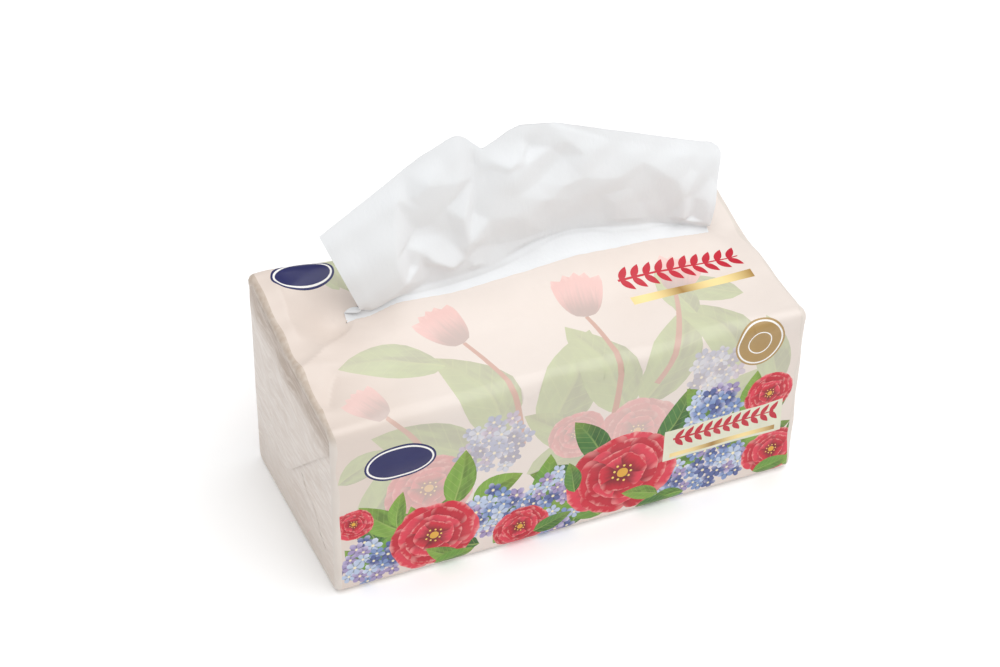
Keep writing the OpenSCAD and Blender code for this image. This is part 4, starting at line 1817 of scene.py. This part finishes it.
@dataclass
class DrawnSheet:
    """The sheet that is drawn half out of the slit of a film."""

    form: PackForm
    film: FilmWrap
    width: float = 197.0
    length: float = 180.0
    wall: float = 0.2
    columns: int = 196
    hidden_rows: int = 7
    rise_rows: int = 18
    strip_rows: int = 12
    stand_rows: int = 92
    fold_y: float = -36.3
    fold_back: float = 44.0
    fold_angles: Spot = (225.0, 180.0, 135.0)
    low_layer: float = 82.8
    high_layer: float = 83.8
    margin: float = 0.3
    grip_in: float = 1.2
    under_film: float = 0.9
    edge_y: float = 24.0
    lean: float = 1.5
    belly: float = 1.5
    strip_slope: Point = (0.67, 0.43)
    strip_bend: Point = (0.65, 0.35)
    strip: tuple[Point, ...] = (
        (-66, 1.4), (-60, 2.3), (-52, 2.7), (-42, 3.2), (-34, 3.9), (-26, 4.5), (-14, 4.9), (-4, 6.0),
        (4, 7.9), (10, 9.4), (18, 10.4), (31, 10.4), (44, 8.6), (56, 6.6), (67, 5.4), (80, 4.5), (88, 3.0),
    )
    tab_x: float = -69.5
    tab_reach: float = 8.0
    tab: float = 5.0
    depth: float = 1.3
    soften: int = 2
    fold_start: float = 0.04
    calm_edge: Spot = (0.75, 0.82, 0.18)
    overhang: float = 1.7
    overhang_end: float = 0.05
    overhangs: tuple[Point, ...] = ((29, 17), (71, 11))
    tuck: float = 6.5
    tuck_reach: float = 12.0
    tuck_start: float = 0.06
    edge_span: Point = (-0.1, 1.1)
    edge_steps: int = 2401
    edge_blur: int = 25
    edge: tuple[Spot, ...] = (
        (0.0, -79.7, 125.9), (0.255, -37.3, 153.1), (0.291, -30.7, 156.1), (0.32, -25.7, 158.6),
        (0.335, -22.8, 159.3), (0.346, -20.7, 158.7), (0.361, -18.2, 157.1), (0.381, -15.6, 154.1),
        (0.41, -11.4, 150.1), (0.443, -5.5, 152.9), (0.473, -0.5, 155.9), (0.499, 4.6, 157.4),
        (0.526, 9.7, 156.6), (0.579, 20.0, 154.4), (0.93, 84.6, 128.7), (0.959, 90.1, 126.8),
        (0.98, 93.1, 124.0), (1.0, 94.7, 120.5),
    )
    folds: dict[str, tuple[Spot, ...]] = field(default_factory=lambda: {
        "surround": ((-110, 180, 0), (-110, 60, 0.2), (120, 60, 0), (120, 170, 0), (0, 190, 0)),
        "left panel": (
            (-81, 129, 0), (-48, 150, 0.2), (-49, 138, 1.0), (-51, 114, 2.0), (-49.5, 106, 2.4),
            (-70, 95, 1.0), (-67, 86, 0.2),
        ),
        "panel's lower edge": (
            (-63, 89.5, 0.6), (-58, 92.6, 1.4), (-53, 96.2, 2.0), (-47.5, 100.5, 2.3),
        ),
        "panel's edge": ((-44, 149, -0.6), (-44, 138, -0.4), (-46, 115, -1.6), (-44, 106, -1.2)),
        "dark wedge": (
            (-58, 88.2, -0.1), (-53, 90, -0.5), (-48, 91.5, -0.9), (-43, 92.6, -1.2),
            (-40, 93.6, -1.3),
        ),
        "above the first hollow": ((-41, 137, 0.4), (-36, 142, 1.4), (-24, 140, 1.2), (-31, 153, 0.2)),
        "first hollow": (
            (-38, 130, -1.2), (-41, 120, -3.4), (-35, 120, -3.6), (-28, 128, -1.4),
            (-26, 117, -2.7),
        ),
        "first puff": ((-34, 105.5, 1.2), (-27, 101, 1.4), (-17, 98, 0.4)),
        "first puff's top": (
            (-40, 112, -0.6), (-38, 117, -3.2), (-30, 115.5, -3.2), (-24, 108.5, -1.8),
            (-20, 103, -0.8),
        ),
        "ridge by the first puff": ((-41, 105, 0.0), (-40.5, 98, -0.4)),
        "crease by the first puff": ((-38, 104, -1.5), (-37, 98, -1.5)),
        "under the first puff": ((-34, 102.8, -1.0), (-26.5, 98.8, -0.8), (-19, 97, -0.6)),
        "left crest": ((-23, 157, 0.6), (-22, 140, 1.0), (-21, 122, 0.6), (-19, 110, 0.2)),
        "valley": ((-15, 154, -1.2), (-15.5, 138, -2.2), (-16, 122, -2.8), (-15, 106, -1.8)),
        "lobe": ((-9, 152, 0.0), (5, 152, 0.2), (-8, 145, 1.2), (-2, 141, 2.2), (4, 143, 1.6)),
        "under the lobe": (
            (-8, 142, 0.4), (-2, 139, 1.2), (6, 140, 0.8), (3, 127, 0.8), (-9, 130, -0.2),
        ),
        "above the second hollow": ((-10, 119, -0.2), (1, 118, 0.6), (7, 113, 0.6)),
        "second hollow": ((-9, 110, -1.6), (0, 109, -1.2), (-5, 103, -2.4), (4, 103, -1.6)),
        "under the second hollow": ((-12, 97, -0.8), (-3, 98, -1.4), (7, 100, -0.8)),
        "sharp crease": ((15, 157, -1.4), (8, 146, -1.4), (12.8, 157, 1.0), (5.8, 147, 1.0)),
        "right of the crease": (
            (18, 154, 0.4), (25, 146, 0.6), (32, 138, 0.8), (18, 144, -0.6), (23, 138, -1.4),
        ),
        "second puff": (
            (12, 130, 0.0), (13, 122, 1.2), (17, 121, 1.4), (22, 126, 1.4), (30, 128, 1.2),
            (36, 131, 0.9),
        ),
        "third hollow": (
            (17, 112, -0.6), (27, 117, -0.6), (40, 116, -0.4), (30, 107, -1.7), (41, 106, -1.7),
        ),
        "third hollow's foot": ((14, 103, -1.4), (29, 101, -2.0), (42, 100, -1.7)),
        "third hollow's rim": ((26, 126.5, 1.2), (44, 124, 1.0)),
        "between the hollows": ((47, 124, 1.0), (46, 110, -0.4), (46, 101, -0.8)),
        "fourth hollow": ((52, 117, -0.6), (60, 119, -0.4), (57, 108, -1.7), (67, 106, -1.2)),
        "fourth hollow's rim": ((57, 128, 1.0), (62, 125, 1.0), (73, 115, 0.9)),
        "fourth hollow's foot": ((52, 101, -1.0), (62, 98, -1.8), (70, 97, -1.3)),
        "upper right": ((45, 140, 0.2), (62, 134, 0.4), (80, 126, 0.6), (91, 124, 0.2)),
        "right bands": (
            (79, 119, 0.2), (76, 108, 1.0), (75, 97, 1.8), (83, 116, 0.2), (80.5, 105, -0.8),
            (79.5, 95, -1.2),
        ),
        "right margin": ((89, 112, -0.4), (86.5, 103, 0.6), (85, 93, 1.6)),
    })

    def __post_init__(self) -> None:
        """Joins the folds, as x, z and how far they come forward, into one crumpled relief."""
        knots = tuple((x, z, self.depth * out) for group in self.folds.values() for x, z, out in group)
        self.features: list[Relief] = [Crumple(knots), Ripple(0.22, (24.0, 20.0), 41)]

    def _rows(self) -> list[Array]:
        """Lays out the sheet.

        Returns:
            Its rows of points, from its hidden edge to its free edge.
        """
        form = self.form
        u = np.linspace(-1, 1, self.columns)
        flat_x = u * self.width / 2
        grip_x = form.slit_x + u * (form.slit_length / 2 - self.margin)
        lip_y = form.slit_y - form.front_gap * form.slit_share(grip_x)
        lip_z = self.film.place(grip_x, form.top_t(lip_y))[:, 2]
        rows = []
        for y in np.linspace(self.fold_y + self.fold_back, self.fold_y, self.hidden_rows):
            rows.append(np.stack([flat_x, np.full_like(u, y), np.full_like(u, self.low_layer)], 1))
        middle, round_ = (self.low_layer + self.high_layer) / 2, (self.high_layer - self.low_layer) / 2
        for a in np.radians(self.fold_angles):
            y, z = self.fold_y + round_ * math.cos(a), middle - round_ * math.sin(a)
            rows.append(np.stack([flat_x, np.full_like(u, y), np.full_like(u, z)], 1))
        grip_y, grip_z = lip_y - self.grip_in, lip_z - self.under_film
        for q in np.linspace(0, 1, self.rise_rows):
            x = flat_x + (grip_x - flat_x) * ease(q)
            y = self.fold_y + (grip_y - self.fold_y) * q
            z = self.high_layer + (grip_z - self.high_layer) * ease(2.0 * q - 1.0)
            film_z = self.film.place(x, form.top_t(y))[:, 2]
            rows.append(np.stack([x, y, np.minimum(z, film_z - self.under_film)], 1))
        wide = np.interp(grip_x, *np.array(self.strip).T)
        base_y = lip_y + self.strip_slope[0] * wide
        wide = wide + self.tab * hump((grip_x - self.tab_x) / self.tab_reach)
        reach, rise = (slope * wide for slope in self.strip_slope)
        over = self.overhang * sum(mesa((grip_x - middle) / half) for middle, half in self.overhangs)
        fold_y, fold_z = lip_y + reach + over, lip_z + rise
        bend_y, bend_z = lip_y + self.strip_bend[0] * reach, lip_z + self.strip_bend[1] * rise
        for q in np.linspace(0, 1, self.strip_rows + 1)[1:]:
            y = (1 - q) ** 2 * grip_y + 2 * q * (1 - q) * bend_y + q * q * fold_y
            z = (1 - q) ** 2 * grip_z + 2 * q * (1 - q) * bend_z + q * q * fold_z
            rows.append(np.stack([grip_x, y, z], 1))
        return rows + list(self._stand(u, grip_x, fold_y, fold_z, base_y))

    def _stand(self, u: Array, foot_x: Array, foot_y: Array, foot_z: Array, base_y: Array) -> Array:
        """The rows of the part that stands out of the slit.

        Args:
            u: each column's place across the sheet, from -1 to 1.
            foot_x: where each column leaves the slit.
            foot_y: the same, across the pack.
            foot_z: the same, upward.
            base_y: where each column stands a little higher up, across the pack.

        Returns:
            The rows from the slit to the free edge.
        """
        at, *places = np.array(self.edge).T
        fine = np.linspace(*self.edge_span, self.edge_steps)
        blur = np.exp(-np.square(np.linspace(-2.5, 2.5, self.edge_blur)))
        blur /= blur.sum()
        lines = (np.convolve(self._stretched(fine, at, place), blur, "same") for place in places)
        edge_x, edge_z = (np.interp((u + 1) / 2, fine, line) for line in lines)
        q = np.linspace(0, 1, self.stand_rows + 1)[1:, None]
        arch = np.sin(np.pi * q)
        tuck = self.tuck * np.exp((foot_x[0] - foot_x) / self.tuck_reach)
        x = foot_x + (edge_x - foot_x) * q + tuck * ease(q / self.tuck_start) * (1 - q)
        z = foot_z + (edge_z - foot_z) * q
        y = base_y + (foot_y - base_y) * (1 - ease(q / self.overhang_end))
        y = y + (self.edge_y - y) * q**self.lean - self.belly * arch
        calm, start, run = self.calm_edge
        window = ease(q / self.fold_start) * (1 - calm * ease((q - start) / run))
        relief = softened(relief_of(self.features, x, z), self.soften)
        return np.stack([x, y - window * relief, z], 2)

    @staticmethod
    def _stretched(at: Array, knots: Array, values: Array) -> Array:
        """Follows knots, and runs straight on past both ends.

        Args:
            at: the places to read.
            knots: the places of the knots.
            values: the values at the knots.

        Returns:
            The value at each place.
        """
        inside = np.interp(at, knots, values)
        first = (values[1] - values[0]) / (knots[1] - knots[0])
        last = (values[-1] - values[-2]) / (knots[-1] - knots[-2])
        return inside + first * np.minimum(at - knots[0], 0) + last * np.maximum(at - knots[-1], 0)

    def build(self, paper: bpy.types.Material) -> bpy.types.Object:
        """Builds the sheet.

        Args:
            paper: its material.

        Returns:
            The sheet's object.
        """
        grid = np.array(self._rows())
        count, across = grid.shape[:2]
        run_u, run_v = np.gradient(grid, axis=1), np.gradient(grid, axis=0)
        normals = unit(np.cross(run_u, run_v).reshape(-1, 3))
        ids = np.arange(count * across).reshape(count, across)
        a, b, c, d = ids[:-1, :-1], ids[:-1, 1:], ids[1:, 1:], ids[1:, :-1]
        faces = np.concatenate([np.stack(three, -1).reshape(-1, 3) for three in ((a, b, c), (a, c, d))])
        skin = Skin(grid.reshape(-1, 3), normals, faces, np.zeros(len(faces), int))
        piece = skin.thick(self.wall, 0).to_object("drawn_sheet", [paper])
        LOG.info("drawn_sheet: %d faces", len(piece.data.polygons))
        return piece


@dataclass(frozen=True)
class Studio:
    """A white floor, soft light and the camera."""

    azimuth: float = -22.85
    elevation: float = 40.01
    roll: float = 0.877
    lens: float = 93.6
    sensor: float = 36.0
    near: float = 50.0
    eye: Spot = (-324.4, -739.84, 748.8)
    sky: float = 0.38
    key: float = 2.35
    spread: float = 72.0
    aim: Spot = (-0.17, 0.2, -1.0)
    floor_half: float = 4000.0
    floor_drop: float = 0.05
    floor_white: float = 0.94
    floor_dull: float = 0.9
    floor_sheen: float = 0.2
    glow: float = 0.13

    def build(self) -> None:
        """Adds the floor, the lights and the camera."""
        self._floor()
        self._light()
        self._camera()

    def _floor(self) -> None:
        """A plain white floor that glows a little, as a light table does."""
        half, low = self.floor_half * MM, -self.floor_drop * MM
        mesh = bpy.data.meshes.new("floor")
        corners = [(-half, -half, low), (half, -half, low), (half, half, low), (-half, half, low)]
        mesh.from_pydata(corners, [], [(0, 1, 2, 3)])
        material, graph = Graph.material("floor_white")
        white = (self.floor_white,) * 3 + (1.0,)
        graph.surface(
            Base_Color=white,
            Roughness=self.floor_dull,
            Specular=self.floor_sheen,
            Emission_Color=white,
            Emission_Strength=self.glow,
        )
        mesh.materials.append(material)
        floor = bpy.data.objects.new("floor", mesh)
        bpy.context.scene.collection.objects.link(floor)

    def _light(self) -> None:
        """A white sky and a broad key from above the front."""
        scene = bpy.context.scene
        scene.view_settings.view_transform = "Standard"
        world = bpy.data.worlds.new("studio")
        world.use_nodes = True
        graph = Graph(world.node_tree)
        sky = graph.wire("ShaderNodeBackground", None, {0: (1.0, 1.0, 1.0, 1.0), 1: self.sky})
        graph.node("ShaderNodeOutputWorld", None, {0: sky})
        scene.world = world
        lamp = bpy.data.lights.new("key", "SUN")
        lamp.energy = self.key
        lamp.angle = math.radians(self.spread)
        piece = bpy.data.objects.new("key", lamp)
        piece.rotation_euler = Vector(self.aim).to_track_quat("-Z", "Y").to_euler()
        scene.collection.objects.link(piece)

    def _camera(self) -> None:
        """The camera where the photograph was taken from."""
        az, el, roll = (math.radians(a) for a in (self.azimuth, self.elevation, self.roll))
        back = Vector((math.sin(az) * math.cos(el), -math.cos(az) * math.cos(el), math.sin(el)))
        right = (-back).cross(Vector((0, 0, 1))).normalized()
        up = back.cross(right)
        right, up = (
            math.cos(roll) * right + math.sin(roll) * up,
            math.cos(roll) * up - math.sin(roll) * right,
        )
        turn = Matrix((right, up, back)).transposed().to_4x4()
        camera = bpy.data.cameras.new("camera")
        camera.sensor_width = self.sensor
        camera.lens = self.lens
        camera.clip_start = self.near * MM
        piece = bpy.data.objects.new("camera", camera)
        piece.matrix_world = Matrix.Translation(Vector(self.eye) * MM) @ turn
        bpy.context.scene.collection.objects.link(piece)
        bpy.context.scene.camera = piece


@dataclass
class TissuePack:
    """The whole object: the film, the stack in it and the drawn sheet."""

    form: PackForm = field(default_factory=PackForm.from_frame)

    def build(self) -> None:
        """Builds and dresses every piece."""
        paper = PaperFinish().material()
        wrap = FilmWrap(self.form)
        film = wrap.build()
        stack = TissueStack().build(paper)
        drawn = DrawnSheet(self.form, wrap)
        sheet = drawn.build(paper)
        for piece, node, slot in (
            (film, "film_wrap", "film"),
            (stack, "tissue_stack", "tissue"),
            (sheet, "pulled_tissue", "tissue"),
        ):
            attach(piece, "root")
            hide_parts(node)
        drawn.width * MM


def main() -> None:
    """Builds the pack and the studio."""
    logging.basicConfig(level=logging.INFO, format="%(name)s: %(message)s")
    TissuePack().build()
    Studio().build()


if __name__ == "__main__":
    main()
